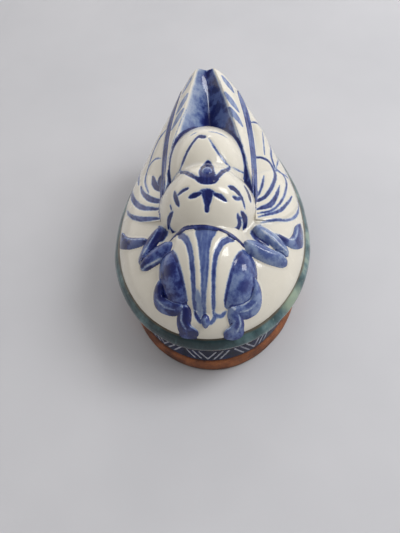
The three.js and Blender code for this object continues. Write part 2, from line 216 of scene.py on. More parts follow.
def ridge(line, half_widths, rise, base):
    """A rounded bar lying on a base surface along a smooth line."""
    path = smooth_line(line)
    t = np.linspace(0, 1, len(path))
    ends = np.sqrt(np.maximum(0.15, 1.0 - np.abs(2 * t - 1) ** 8))
    widths = spread(half_widths, len(path)) * ends
    low, high = path.min(0) - widths.max(), path.max(0) + widths.max()

    def height(x, y):
        result = np.full(np.shape(x), NOWHERE)
        near = (x > low[0]) & (x < high[0]) & (y > low[1]) & (y < high[1])
        px, py = x[near], y[near]
        best = np.full(px.shape, -1.0)
        for (cx, cy), width in zip(path, widths):
            best = np.maximum(best, 1.0 - ((px - cx) ** 2 + (py - cy) ** 2) / width ** 2)
        raised = base(px, py) - RIDGE_SINK + (rise + RIDGE_SINK) * np.sqrt(np.maximum(best, 0))
        result[near] = np.where(best > 0, raised, NOWHERE)
        return result

    height.path, height.widths = path, widths
    return height


# ---- wings ----

def lean(y):
    return -TAIL_LEAN * (np.maximum(0.0, y) / WING_TIP) ** 2


def inner_edge(y, side):
    """Half-width and height of the crest beside the valley. The left one stands further out."""
    drop = np.maximum(0.0, (WING_TIP - y) / 57.0)
    return WING_SIDES[side]["crest"] - 0.24 * y, CREST_TOP - CREST_DROP * drop ** 2


def rib_line(y, side):
    """Half-width and height of the thick vein."""
    t = np.maximum(0.0, (y - 15.0) / (RIB_BACK - 15.0))
    rise = mix(37.6, 43.6, t) + 1.4 * np.sin(np.pi * np.minimum(1.0, t))
    return WING_SIDES[side]["root"] - WING_SIDES[side]["close"] * t ** 2.2, rise


def outline_distance(x, y, outline):
    """Signed distance to a closed outline, positive inside."""
    best = np.full(np.shape(x), 1e9)
    inside = np.zeros(np.shape(x), bool)
    for (ax, ay), (bx, by) in zip(outline, np.roll(outline, -1, axis=0)):
        ex, ey = bx - ax, by - ay
        t = unit(((x - ax) * ex + (y - ay) * ey) / (ex * ex + ey * ey + 1e-12))
        best = np.minimum(best, np.hypot(x - ax - t * ex, y - ay - t * ey))
        crosses = (ay > y) != (by > y)
        inside ^= crosses & (x < ax + ex * (y - ay) / (ey if ey else 1e-9))
    return np.where(inside, best, -best)


WING_EDGE = smooth_line(WING_OUTLINE)
WING_PLAN = np.vstack([
    [(-3, -5), (-3, 65.5), (3.3, 66.5), (7, 64.8)],
    WING_EDGE[::-1],
    smooth_line(WING_FRONT_EDGE)[::-1][1:],
])


def wing_roof(side):
    """Height of one wing: valley, crest, thick vein and outer panel down to the dome's edge."""
    edge = np.vstack([smooth_line(WING_FRONT_EDGE)[:-1], WING_EDGE])
    edge_x, edge_y = edge.T
    swell = WING_SIDES[side]["swell"]

    def height(x, y):
        result = np.full(np.shape(x), NOWHERE)
        near = ((x - lean(y)) * side > -0.01) & (x * side < 36) & (y > -6) & (y < 68)
        px, py = x[near], y[near]
        s = (px - lean(py)) * side
        rib_x, rib_z = rib_line(py, side)
        crest_x, crest_z = inner_edge(py, side)
        crest_x = np.minimum(crest_x, rib_x - 1.0)
        valley_z = VALLEY_FLOOR + VALLEY_SLOPE * (py - 33.0) + VALLEY_LIFT * unit((py - 42) / 24) ** 1.5
        outer_x = np.maximum(np.interp(py, edge_y, edge_x), rib_x + 0.8)
        outer_z = dome(outer_x, py) + WING_STEP
        face = valley_z + (crest_z - valley_z) * unit(s / crest_x) ** 1.2
        u = unit((s - crest_x) / (rib_x - crest_x))
        strip = mix(crest_z, rib_z, u) + 0.6 * np.sin(np.pi * u)
        v = unit((s - rib_x) / (outer_x - rib_x))
        bulge = swell * unit((py - 17) / 24) ** 1.3 * np.sin(np.pi * v)
        panel = mix(rib_z, outer_z, v) + bulge
        panel = np.maximum(panel, dome(px, py) + WING_STEP)
        roof = np.where(s < crest_x, face, np.where(s < rib_x, strip, panel))
        depth = outline_distance(s, py, WING_PLAN)
        roll = 3.0 * (1.0 - unit(depth / 1.1)) ** 2
        result[near] = np.where(depth > -0.05, roof - roll, NOWHERE)
        return result

    return height


def rib_path(side, step=5.0):
    y = np.arange(3.0, RIB_BACK - 0.5, step)
    return [(rib_line(v, side)[0] * side + lean(v), v) for v in y]


# ---- forms ----

MOUNDS = {
    "thorax": ((-0.9, 2.5, 29), (19, 18.2, 24.5), 0, 0),
    "abdomen": ((-1.5, 21.6, 29), (17.4, 21.4, 23.5), -4, 0),
    "head": ((-0.4, -15, 26), (17, 24, 19), 0, 0),
    "scutellum": ((-0.4, 6.4, 51.4), (2.3, 3.0, 2.4), 0, 0),
    "rostrum": ((-0.8, -39.4, 28.6), (1.6, 2.4, 2.6), 0, 0),
    "eye_left": ((-10.5, -26.0, 31.8), (6.5, 11.2, 7.8), -15, 0.25),
    "eye_right": ((9.2, -26.2, 31.8), (7.6, 11.2, 7.8), 13, 0.25),
}
thorax = mound(*MOUNDS["thorax"])
abdomen_mound = mound(*MOUNDS["abdomen"])
head = mound(*MOUNDS["head"])

# The heart-shaped joint between thorax and abdomen, in plan.
HEART = [(-10.9, 13.1), (-6.7, 6.2), (-3.5, 2.9), (0.2, 1.4), (2.8, 3.0), (5.0, 7.8), (7.4, 13.9)]
HEART_PLAN = np.vstack([smooth_line(HEART), [(7.4, 32), (-10.9, 32)]])


def abdomen(x, y):
    """The abdomen's mound, with a low wedge that runs forward into the thorax."""
    inside = outline_distance(x, y, HEART_PLAN)
    wedge = thorax(x, y) + np.clip(0.4 * inside, -4.0, 0.5)
    return ABDOMEN_BLEND * np.logaddexp(abdomen_mound(x, y) / ABDOMEN_BLEND, wedge / ABDOMEN_BLEND)


def trunk(x, y):
    return np.maximum(np.maximum(dome(x, y), head(x, y)), np.maximum(thorax(x, y), abdomen(x, y)))


COLLAR_LINE = [
    (-13.6, -12.6), (-9.4, -11.2), (-4, -11.8), (0.4, -12.1), (5.4, -12.9), (9.6, -14.3), (13.6, -16.4),
]

# Each leg is a few bars: the points of its middle line, its half-widths and how high it stands.
LEG_LINES = {
    "midleg_left": [
        ([(-13.6, -15.2), (-18.6, -17.6), (-23.2, -20.0)], (3.7, 3.5, 2.7), 2.8),
        ([(-17.0, -7.4), (-20.6, -12), (-23.6, -18.2)], (2.8, 2.9, 2.6), 2.3),
    ],
    "midleg_right": [
        ([(13.4, -14.6), (20.4, -17), (26.4, -17.2)], (3.5, 3.4, 2.8), 2.8),
        ([(16.8, -7.4), (22.4, -10.2), (26.8, -13.8)], (2.9, 3.0, 2.7), 2.3),
    ],
    "midleg_foot_left": [
        ([(-22.6, -10.6), (-28, -9), (-32, -5.8), (-33.2, -1.4)], (2.0, 2.5, 2.2, 1.0), 1.7),
    ],
    "midleg_foot_right": [
        ([(23.4, -8.2), (28.6, -9.2), (31.4, -6.4), (32.3, -1.6), (33, 1.8)],
         (1.8, 2.1, 2.5, 2.0, 1.1), 1.7),
    ],
    "foreleg_left": [
        ([(-16.4, -26.8), (-17.2, -29.8), (-16.5, -33.1), (-13, -35.4), (-8.6, -36.6)],
         (1.7, 2.1, 2.3, 2.2), 2.2),
    ],
    "foreleg_right": [
        ([(15.8, -26.8), (16.4, -30.2), (15.8, -33.9), (12.6, -36.4), (9, -37.4)],
         (1.7, 2.1, 2.3, 2.2), 2.2),
    ],
    "foreleg_foot_left": [
        ([(-7.6, -36.4), (-8.1, -39), (-8.1, -40.6), (-6.4, -42), (-3.4, -42.9)],
         (2.7, 2.9, 2.5, 1.5, 0.9), 1.9),
    ],
    "foreleg_foot_right": [
        ([(8.3, -36.8), (9.4, -39.2), (9.8, -40.4), (8.4, -42), (5.4, -42.9)],
         (2.6, 2.9, 2.6, 1.6, 0.9), 1.9),
    ],
}
SIDES = {"left": -1, "right": 1}


def together(ridges):
    def height(x, y):
        return np.max([one(x, y) for one in ridges], axis=0)

    return height


FORMS = {
    "dome_shell": dome,
    "thorax": thorax,
    "abdomen": abdomen,
    "head": head,
    "scutellum": mound(*MOUNDS["scutellum"]),
    "rostrum": mound(*MOUNDS["rostrum"]),
    "collar": ridge(COLLAR_LINE, (1.1, 1.1), 0.5, trunk),
    "eye_left": mound(*MOUNDS["eye_left"]),
    "eye_right": mound(*MOUNDS["eye_right"]),
}
BARS = {name: [ridge(*bar, dome) for bar in bars] for name, bars in LEG_LINES.items()}
FORMS.update({name: together(bars) for name, bars in BARS.items()})
for label, side in SIDES.items():
    FORMS[f"wing_{label}"] = wing_roof(side)
    FORMS[f"rib_{label}"] = ridge(rib_path(side), (1.3, 1.6, 1.7), 0.8, FORMS[f"wing_{label}"])


def evaluate(x, y):
    return np.stack([form(x, y) for form in FORMS.values()])


def skin(x, y, stack=None):
    """The smooth surface over every form. The two wings count as one, as they share the valley."""
    stack = (evaluate(x, y) if stack is None else stack).copy()
    left, right = (list(FORMS).index(f"wing_{label}") for label in SIDES)
    stack[left] = np.maximum(stack[left], stack[right])
    stack[right] = NOWHERE
    top = stack.max(axis=0)
    return top + BLEND * np.log(np.exp((stack - top) / BLEND).sum(axis=0))


# ---- painted strokes ----

STROKES = []
INK_REACH = 5.0     # further than this from every stroke, the distance is not worked out
SEAM_REACH = 6.0
DEFAULT_LOAD = 0.9
WIPE_WIDTH = 0.6


def stroke(group, widths, points, taper=0.25, load=DEFAULT_LOAD):
    """Records a painted stroke. A load of 0 wipes colour away and leaves a paler line."""
    path = smooth_line(points, 6)
    along = np.linspace(0, 1, len(path))
    half = spread(np.atleast_1d(widths), len(path)) / 2
    half = half * np.minimum(1, np.minimum(along, 1 - along) / taper + 0.25) ** 0.7
    STROKES.append((group, np.column_stack([path, skin(path[:, 0], path[:, 1])]), half, load))


def strokes(group, rows):
    for row in rows:
        stroke(group, *row)


# Rows of painted strokes: width in mm (one, or several along the stroke), middle line in plan, the
# share of the length over which the ends taper, and how much colour the brush carried.
TRUNK_STROKES = [
    (1.4, HEART, 0.05, 0.95),
    (3.2, [(-3.6, 2.6), (0.1, 1.7), (3.2, 3)], 0.35, 1.0),
    ((1.0, 3.6, 4.8, 5.8, 5.0), [(-0.3, 13.5), (-0.3, 11.2), (-0.4, 8.8), (-0.4, 5.8),
        (0, 3.2)], 0.05, 1.0),
    (1.1, [(-3.6, 24.8), (-5, 23.8), (-7.8, 19), (-10.4, 13.8)], 0.1, 0.85),
    (0.9, [(-0.2, 23.4), (2.4, 18.4), (5.4, 14.9), (7.2, 13.9)], 0.3, 0.62),
    (2.1, [(-3.9, 25), (-1.8, 24.2)], 0.3, 0.95),
    (0.7, [(7.4, 13.9), (10.3, 14.6), (13.2, 16.4)], 0.3, 0.7),
    (0.7, [(-10.9, 13.1), (-13.4, 12.6), (-15.6, 11.2)], 0.3, 0.7),
    (0.6, [(-0.4, 28), (2.7, 28), (6.2, 27)], 0.3, 0.6),
    (0.6, [(-7.4, 27), (-5, 28.2)], 0.3, 0.6),
    ((1.2, 1.9, 1.2), [(-6.4, -3.6), (-4.4, -3.3), (-2, -2.6)], 0.25, 1.0),
    ((1.2, 1.9, 1.3), [(2, -2.9), (4.2, -3.4), (6.4, -4.3)], 0.25, 0.95),
    (1.0, [(-2.8, -2.1), (0, -1.8), (2.4, -2.4)], 0.25, 0.8),
    ((4.0, 3.1, 1.7, 1.4), [(-0.1, -2.8), (0, -4.6), (-0.1, -6.4), (-0.3, -8.2)], 0.08, 1.0),
    (1.2, [(-6.8, -0.2), (-8.4, -0.4), (-10.6, -1.2)], 0.25, 0.95),
    ((1.0, 1.9, 1.5), [(-11.9, 1.2), (-11.5, -0.8), (-10.8, -3), (-10, -5)], 0.25, 1.0),
    (0.8, [(-13.4, -2.6), (-12.9, -4.4)]),
    ((1.3, 2.2, 1.3), [(-12.4, -5.2), (-14, -6.2), (-14.4, -8)], 0.25, 0.95),
    (1.1, [(-13.6, -8.2), (-12.6, -9.6), (-11.2, -10.6)]),
    (1.3, [(-16.6, 8), (-17.3, 5)], 0.25, 1.0),
    (1.9, [(7.2, 1.2), (9.4, 1.1), (11.4, 0)], 0.25, 1.0),
    ((1.3, 0.9), [(10.8, 0.6), (12, -1), (12.8, -3.4)]),
    (1.4, [(8.6, -2), (10.2, -1.8), (11.4, -0.6)], 0.25, 0.8),
    (2.0, [(12.6, 6.4), (13.9, 4.2), (14.8, 1.2)], 0.25, 1.0),
    ((1.6, 2.6, 1.8), [(11.4, -4.8), (12.8, -6), (12.4, -8.4)], 0.25, 0.95),
    (1.7, [(10.2, -6.2), (10.8, -8.2), (8.8, -11)], 0.25, 0.85),
]
HEAD_STROKES = [
    ((8.0, 5.2, 3.5, 3.0, 2.3, 1.7, 1.2), [(-0.6, -12.6), (-1, -16.5), (-1.1, -21.5), (-0.8, -26),
        (-0.9, -30.5), (-1.2, -35), (-1.2, -40)], 0.04, 0.63),
    ((2.5, 2.0, 1.7, 1.4), [(-10, -12.4), (-7.6, -15.4), (-5.9, -20), (-5, -26), (-4.6, -31),
        (-4.3, -37.8)], 0.05, 0.7),
    ((2.5, 2.0, 1.5, 1.3), [(8.6, -14.6), (5.4, -17.2), (3.6, -20.6), (2.6, -24.6), (2.2, -29),
        (2, -38.4)], 0.05, 0.7),
    (2.2, [(-3.2, -33), (-3, -36), (-2.4, -39)], 0.4, 0.42),
    (1.4, [(-4.4, -37.4), (-3, -39.6), (-1, -41)], 0.3, 0.8),
    (1.3, [(2.8, -38), (1.8, -39.8), (0.2, -41)], 0.3, 0.6),
    (1.4, [(6.2, -37.2), (4.4, -38.6), (3, -38.4)], 0.3, 0.6),
]
SOFT, MID, RICH = 0.64, 0.75, 0.86
WING_STROKES = {
    "wing_right": [
        ((1.4, 1.4, 1.1, 0.9), [(16.8, 4.6), (20.4, 8.6), (23.2, 15.8), (24.2, 22.4), (22.4, 26.6),
            (19.3, 27), (16.8, 26)], 0.06, RICH),
        (0.9, [(17, 6.6), (18.8, 12.4), (19.8, 19)], 0.3, MID),
        ((1.4, 2.2, 1.4, 0.7), [(17, 1), (21.8, 4.6), (24.4, 10.6), (25.7, 16.5)], 0.2, RICH),
        (0.9, [(17.2, -0.8), (22.6, 2.4), (26.6, 9.6), (28.4, 18), (28, 23.4), (25.4, 25.6),
            (24.2, 24)], 0.1, MID),
        ((1.0, 1.4, 1.1, 0.7), [(17.4, -2.4), (24.8, 2.6), (28.7, 9.2), (30.4, 14)], 0.2, MID),
        (1.1, [(18.2, -4.2), (24.8, -1.2), (29.6, 2.2), (32.4, 8), (33, 16), (32.2, 22.4), (29.1, 24.7),
            (24.6, 24.9)], 0.1, SOFT),
        (1.2, [(15.4, 41.7), (18.4, 42.7), (21.2, 41), (22.8, 35), (23, 29.9), (24.4, 25.3)], 0.1, MID),
        (0.6, [(19.6, 40), (20.3, 29)], 0.3, SOFT),
        (0.8, [(24.6, 42), (25.8, 34), (24.6, 25)], 0.3, SOFT),
        (0.8, [(28.4, 40), (28.7, 26)], 0.3, SOFT),
        ((2.8, 2.4, 1.6), [(14.6, 54), (18.4, 49.6), (22.4, 44)], 0.3, 0.5),
    ],
    "wing_left": [
        (2.2, [(-22.4, 20.6), (-20.9, 14.8), (-17.4, 10)], 0.4, 1.0),
        ((1.6, 3.4, 2.6), [(-19.2, 19), (-18.7, 15.9), (-17.7, 11.6)], 0.2, 1.0),
        ((2.0, 2.4, 1.5, 0.8), [(-16.6, 4.6), (-22, 8), (-25.8, 13.4), (-27.3, 18.4)], 0.2, RICH),
        ((1.6, 2.1, 1.7, 0.9), [(-17, 1.4), (-24.8, 5), (-29.4, 11.6), (-31.6, 20), (-31.8, 28)], 0.2, MID),
        ((1.7, 2.0, 1.6, 1.0), [(-17, -2.8), (-25.4, 0), (-30, 4.6), (-33, 11)], 0.2, MID),
        (0.8, [(-23.4, 12), (-25.6, 20), (-25, 26.4), (-22.4, 28.4), (-19.4, 27)], 0.1, SOFT),
        (1.2, [(-28.4, 20), (-29.2, 28), (-27.4, 38), (-24, 44)], 0.2, SOFT),
        (1.4, [(-31.4, 26), (-30, 35), (-27, 43)], 0.3, SOFT),
        (1.3, [(-24.8, 27.4), (-23.1, 33.8), (-20.9, 37.5), (-18.3, 39.6)], 0.3, SOFT),
    ],
}


def paint_relief():
    strokes("trunk", TRUNK_STROKES)
    turns = np.linspace(0, 2 * math.pi, 9)
    ring = [(-0.3 + 1.7 * math.sin(turn), 5.7 + 2.1 * math.cos(turn)) for turn in turns]
    stroke("scutellum", 0.5, ring, 0.01, 0)
    strokes("head", HEAD_STROKES)
    # Wipes the legs' painted highlights into their wash.
    for group, highlight_rows in LEG_HIGHLIGHTS.items():
        strokes(group, [(*highlight_row, 0) for highlight_row in highlight_rows])
    paint_wings()


# Pale lines wiped through the wash on the legs, painted highlights along their ridges and joints: width,
# middle line and taper.
LEG_HIGHLIGHTS = {
    "midleg_left": [
        (0.5, [(-23.2, -16.6), (-20.4, -12.2), (-18.2, -8.4)], 0.2),
        (0.5, [(-22.6, -17.6), (-18.8, -15.2), (-14.6, -13.2)], 0.2),
        (0.9, [(-23.8, -21.6), (-20, -20.6), (-16.4, -19.4)], 0.4),
    ],
    "midleg_right": [
        (0.5, [(26.4, -13.6), (22.4, -11.2), (18.4, -8.6)], 0.2),
        (0.5, [(26, -14.6), (21, -13.9), (15.6, -12.4)], 0.2),
        (0.6, [(18.4, -6.8), (22.6, -8), (25.8, -10.8)], 0.3),
    ],
    "midleg_foot_left": [(0.6, [(-24, -10), (-28, -8.2), (-31.6, -5.2)], 0.3)],
    "midleg_foot_right": [(0.6, [(25.6, -8.2), (29.4, -8.2), (31.2, -5.2), (31.9, -1)], 0.3)],
    "foreleg_left": [
        (0.6, [(-14.6, -32.6), (-11.8, -34.6), (-9.2, -35.6)], 0.3),
        (0.5, [(-17.6, -32.8), (-15, -35.4), (-11.2, -37)], 0.3),
    ],
    "foreleg_right": [
        (0.6, [(14.6, -32.8), (12.4, -35), (9.4, -36.2)], 0.3),
        (0.5, [(16.6, -34), (13.8, -36.6), (11, -37.6)], 0.3),
    ],
    "foreleg_foot_left": [(0.7, [(-8.6, -37.6), (-9, -40), (-7.6, -42)], 0.3)],
    "foreleg_foot_right": [(0.7, [(10.4, -38), (11, -40.4), (9.8, -42)], 0.3)],
}


def abdomen_edge(count=17):
    """The line where the abdomen sinks into the wings, just outside it."""
    centre = MOUNDS["abdomen"][0]
    line = []
    for angle in np.linspace(math.radians(14), math.radians(166), count):
        reach = np.linspace(4, 26, 200)
        x, y = centre[0] + reach * math.cos(angle), centre[1] + reach * math.sin(angle)
        wings = np.maximum(FORMS["wing_left"](x, y), FORMS["wing_right"](x, y))
        end = np.argmax(wings > abdomen(x, y)) + 3
        line.append((x[end], y[end]))
    return line


def paint_wings():
    edge = abdomen_edge()
    stroke("clavus_left", 1.5, edge, 0.05, 1.0)
    stroke("clavus_right", 1.5, edge, 0.05, 1.0)
    for group, rows in WING_STROKES.items():
        strokes(group, rows)
    rail = [(3.0, 58.1), (4.6, 50.1), (7.4, 40.8), (10.3, 31.8), (12.9, 22.3), (13.7, 18.5)]
    stroke("clavus_right", 0.4, rail, 0.3, 0.5)
    stroke("clavus_left", 0.4, [(-x - 3.2, y) for x, y in rail], 0.3, 0.5)
    patches = [
        ((4.0, 62), (8.3, 55), 3.4), ((5.2, 51.5), (10.3, 44), 3.2), ((6.6, 44), (11.8, 37), 3.2),
    ]
    for near, far, width in patches:
        stroke("clavus_right", width, [near, far], 0.5, 0.52)
        stroke("clavus_left", width, [(-near[0] - 4.4, near[1]), (-far[0] - 3.4, far[1])], 0.5, 0.48)
    leg_roots = {
        "left": [(-18.0, -5.4), (-16.4, -8.8), (-18.2, -12.2)],
        "right": [(18.0, -5.4), (16.6, -9.2), (20.6, -12.6)],
    }
    for label, root in leg_roots.items():
        stroke(f"wing_{label}", (2.4, 4.4, 3.0), root, 0.3, 0.8)


def painted_distance(positions, groups):
    """Signed distance in mm to the nearest stroke's edge, negative inside it, with the load of
    that stroke and how far the colour is wiped away."""
    best = np.full(len(positions), INK_REACH)
    loads = np.full(len(positions), DEFAULT_LOAD)
    wiped = np.zeros(len(positions))
    for group, line, half, load in STROKES:
        if group not in groups:
            continue
        low, high = line.min(0) - INK_REACH, line.max(0) + INK_REACH
        near = np.all((positions > low) & (positions < high), axis=1)
        if not near.any():
            continue
        p = positions[near]
        value = np.full(len(p), INK_REACH)
        for a, b, wa, wb in zip(line, line[1:], half, half[1:]):
            e = b - a
            t = unit((p - a) @ e / (e @ e + 1e-9))
            gap = np.linalg.norm(p - a - t[:, None] * e, axis=1)
            value = np.minimum(value, gap - mix(wa, wb, t))
        if load == 0:
            wiped[near] = np.maximum(wiped[near], unit(0.5 - value / WIPE_WIDTH))
            continue
        closer = value < best[near]
        best[near] = np.minimum(best[near], value)
        loads[near] = np.where(closer, load, loads[near])
    return {"ink": best, "load": loads, "wipe": wiped}


# ---- meshes ----

def link(obj):
    bpy.context.scene.collection.objects.link(obj)
    return obj


def grid_faces(rows, cols, wrap, offset=0, flip=False, ring=False):
    """Quads of a grid. wrap closes each row on itself, and ring joins the last row to the first."""
    counts = (rows if ring else rows - 1, cols if wrap else cols - 1)
    i, j = np.meshgrid(np.arange(counts[0]), np.arange(counts[1]), indexing="ij")
    k, n = (j + 1) % cols, (i + 1) % rows
    quads = np.stack([i * cols + j, i * cols + k, n * cols + k, n * cols + j], -1)
    quads = quads.reshape(-1, 4) + offset
    return quads[:, ::-1] if flip else quads


def add_layer(mesh, key, values):
    layer = mesh.attributes.new(key, "FLOAT", "POINT")
    layer.data.foreach_set("value", np.asarray(values, np.float32))


def make_piece(node, vertices, faces, slot, attributes=None, sharp=50):
    """A clean closed mesh from vertices in mm, riding on the body and standing for a CAD node."""
    mesh = bpy.data.meshes.new(node)
    mesh.from_pydata(to_row(vertices).tolist(), [], [list(map(int, face)) for face in faces])
    for key, values in (attributes or {}).items():
        add_layer(mesh, key, values)
    work = bmesh.new()
    work.from_mesh(mesh)
    bmesh.ops.remove_doubles(work, verts=work.verts, dist=2e-6)
    bmesh.ops.dissolve_degenerate(work, edges=work.edges, dist=1e-7)
    bmesh.ops.recalc_face_normals(work, faces=work.faces)
    if work.calc_volume(signed=True) < 0:
        bmesh.ops.reverse_faces(work, faces=work.faces)
    limit = math.radians(sharp)
    for edge in work.edges:
        edge.smooth = len(edge.link_faces) == 2 and edge.calc_face_angle(0) < limit
    for face in work.faces:
        face.smooth = True
    work.to_mesh(mesh)
    work.free()
    obj = link(bpy.data.objects.new(node, mesh))
    add_pool(mesh)
    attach(obj, "root")
    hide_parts(node)
    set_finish(obj, slot)


def read_values(items, key, width, kind=float):
    values = np.zeros(len(items) * width, kind)
    items.foreach_get(key, values)
    return values.reshape(-1, width)


def add_pool(mesh, passes=3):
    """A smoothed curvature per vertex: below 0 in hollows, where glaze pools, above 0 on crests."""
    count = len(mesh.vertices)
    points = read_values(mesh.vertices, "co", 3) * MM
    normals = read_values(mesh.vertex_normals, "vector", 3)
    a, b = read_values(mesh.edges, "vertices", 2, int).T
    step = points[b] - points[a]
    bend = np.einsum("ij,ij->i", normals[b] - normals[a], step)
    bend /= np.maximum(np.einsum("ij,ij->i", step, step), 1e-4)
    degree = np.maximum(1, np.bincount(a, minlength=count) + np.bincount(b, minlength=count))
    pool = (np.bincount(a, bend, count) + np.bincount(b, bend, count)) / degree
    pool = np.clip(pool, -1.5, 1.5)
    for _ in range(passes):
        spread = np.bincount(a, pool[b], count) + np.bincount(b, pool[a], count)
        pool = 0.5 * pool + 0.5 * spread / degree
    add_layer(mesh, "pool", pool)


PAINTED_JOINTS = [
    {"thorax", "wing"}, {"abdomen", "wing"}, {"eye", "head"}, {"eye", "foreleg"}, {"thorax", "midleg"},
]


def joint_is_painted(a, b):
    return {a.split("_")[0], b.split("_")[0]} in PAINTED_JOINTS


def seam_distance(x, y, stack):
    """Distance along the surface to the joint with a neighbour, where that joint is painted."""
    order = np.argsort(stack, axis=0)
    first, second = order[-1], order[-2]
    at = np.arange(len(x))
    gap = stack[first, at] - stack[second, at]
    e = 0.05
    across, along = evaluate(x + e, y), evaluate(x, y + e)
    gap_x = (across[first, at] - across[second, at] - gap) / e
    gap_y = (along[first, at] - along[second, at] - gap) / e
    slope_x = (across[first, at] - stack[first, at]) / e
    slope_y = (along[first, at] - stack[first, at]) / e
    steep = np.sqrt(1 + np.minimum(slope_x ** 2 + slope_y ** 2, 25))
    distance = gap / np.maximum(np.hypot(gap_x, gap_y), 0.2) * steep
    keep = np.array([[joint_is_painted(a, b) for b in FORMS] for a in FORMS])
    return np.where(keep[first, second], np.minimum(distance, SEAM_REACH), SEAM_REACH)


def own_top(mine, x, y, stack):
    """The skin where a form is the highest, sinking into the form where a neighbour takes over."""
    own = stack[mine]
    lead = own - np.delete(stack, mine, axis=0).max(axis=0)
    surface = skin(x, y, stack)
    sunk = own + (surface - own) * unit(1 + lead / SINK_WIDTH)
    top = np.where(lead >= 0, surface, sunk)
    return top + ripple(x, y, top)


def relief(name, x, y, wrap, seat, groups, slot, form=None, foot=None, wash=0.0, engrave=0.0,
           solid=0.0):
    """A closed piece of the relief over a grid of plan points. Its underside is seated a little
    below the surface that carries it."""
    px, py = x.ravel(), y.ravel()
    stack = evaluate(px, py)
    low = seat(px, py) - SEAT_DEPTH
    top = np.maximum(own_top(list(FORMS).index(form or name), px, py, stack), low + 0.02)
    positions = np.column_stack([px, py, top])
    paint = painted_distance(positions, groups)
    positions[:, 2] -= engrave * np.exp(-(np.maximum(0, paint["ink"] + 0.1) / 0.45) ** 2)
    if solid:
        paint.update(ink=np.full(px.shape, -1.0), load=np.full(px.shape, solid))
    paint["seam"] = seam_distance(px, py, stack)
    paint["wash"] = np.broadcast_to(wash, px.shape)
    under = np.column_stack([px, py, low])
    if foot is not None:
        under = foot(under)
    vertices, faces, attributes = closed_patch(positions, under, *x.shape, wrap, paint)
    make_piece(name, vertices, faces, slot, attributes)


def closed_patch(top, under, rows, cols, wrap, paint, levels=10):
    """The solid between two grids. Its wall, in several levels, carries the paint of its top edge."""
    border = border_loop(rows, cols, wrap)
    steps = [mix(top[border], under[border], level / levels) for level in range(1, levels)]
    attributes = {
        key: np.concatenate([values, values] + [values[border]] * len(steps))
        for key, values in paint.items()
    }
    wall_points = np.arange(len(border) * len(steps)).reshape(len(steps), -1) + 2 * rows * cols
    wall = [border, *wall_points, border + rows * cols]
    faces = [grid_faces(rows, cols, wrap), grid_faces(rows, cols, wrap, rows * cols, True)]
    for upper, lower in zip(wall, wall[1:]):
        faces.append(np.column_stack([upper, lower, np.roll(lower, -1), np.roll(upper, -1)]))
    return np.vstack([top, under] + steps), np.vstack(faces), attributes


def border_loop(rows, cols, wrap):
    index = np.arange(rows * cols).reshape(rows, cols)
    if wrap:
        return index[-1]
    return np.concatenate([index[0, :-1], index[:-1, -1], index[-1, :0:-1], index[:0:-1, 0]])


def mound_grid(form, centre, radii, turn, seat, rings=54, spokes=170):
    """Polar plan points over an ellipsoid, out to where it sinks into the surface below."""
    angle = full_turn(spokes)
    c, s = math.cos(math.radians(turn)), math.sin(math.radians(turn))

    def place(reach):
        u, v = radii[0] * reach * np.cos(angle), radii[1] * reach * np.sin(angle)
        return centre[0] + c * u + s * v, centre[1] - s * u + c * v

    low, high = np.full(spokes, 0.2), np.full(spokes, 0.9995)
    for _ in range(24):
        middle = (low + high) / 2
        px, py = place(middle)
        above = form(px, py) > seat(px, py) - SEAT_DEPTH
        low, high = np.where(above, middle, low), np.where(above, high, middle)
    reach = np.sin(np.linspace(0, 1, rings) * np.arcsin(low)[:, None]).T
    grid = [place(row) for row in reach]
    return np.array([row[0] for row in grid]), np.array([row[1] for row in grid])


def ridge_grid(bar, length=70, across=30, margin=1.12):
    """Plan points over a ridge, as a strip that narrows to rounded ends."""
    fine = np.linspace(0, 1, length)
    x, y, width = (spread(values, length) for values in (*bar.path.T, bar.widths))
    dx, dy = np.gradient(x), np.gradient(y)
    norm = np.hypot(dx, dy)
    dx, dy = dx / norm, dy / norm
    overshoot = width * unit(np.abs(2 * fine - 1) - 0.9) * 10
    lead = np.sign(fine - 0.5) * overshoot
    close = np.sqrt(np.maximum(1e-4, 1 - (overshoot / np.maximum(width, 1e-6)) ** 2))
    u = np.sin(np.linspace(-np.pi / 2, np.pi / 2, across))
    px = (x + dx * lead)[:, None] - dy[:, None] * u * (width * close * margin)[:, None]
    py = (y + dy * lead)[:, None] + dx[:, None] * u * (width * close * margin)[:, None]
    return px, py


# ---- rings of the body ----

def round_corners(corners, radius, steps=4):
    """A closed section with each corner replaced by a small arc."""
    points = []
    corners = np.array(corners, float)
    for before, here, after in zip(np.roll(corners, 1, 0), corners, np.roll(corners, -1, 0)):
        a, b = before - here, after - here
        la, lb = np.linalg.norm(a), np.linalg.norm(b)
        r = min(radius, 0.4 * la, 0.4 * lb)
        start, end = here + a / la * r, here + b / lb * r
        for t in np.linspace(0, 1, steps):
            points.append((1 - t) ** 2 * start + 2 * t * (1 - t) * here + t ** 2 * end)
    return np.array(points)


def fill_section(section, spacing):
    """Adds points along the long sides of a section."""
    points = []
    for a, b in zip(section, np.roll(section, -1, 0)):
        count = max(1, int(np.linalg.norm(b - a) / spacing))
        points.extend(a + (b - a) * t for t in np.arange(count) / count)
    return np.array(points)


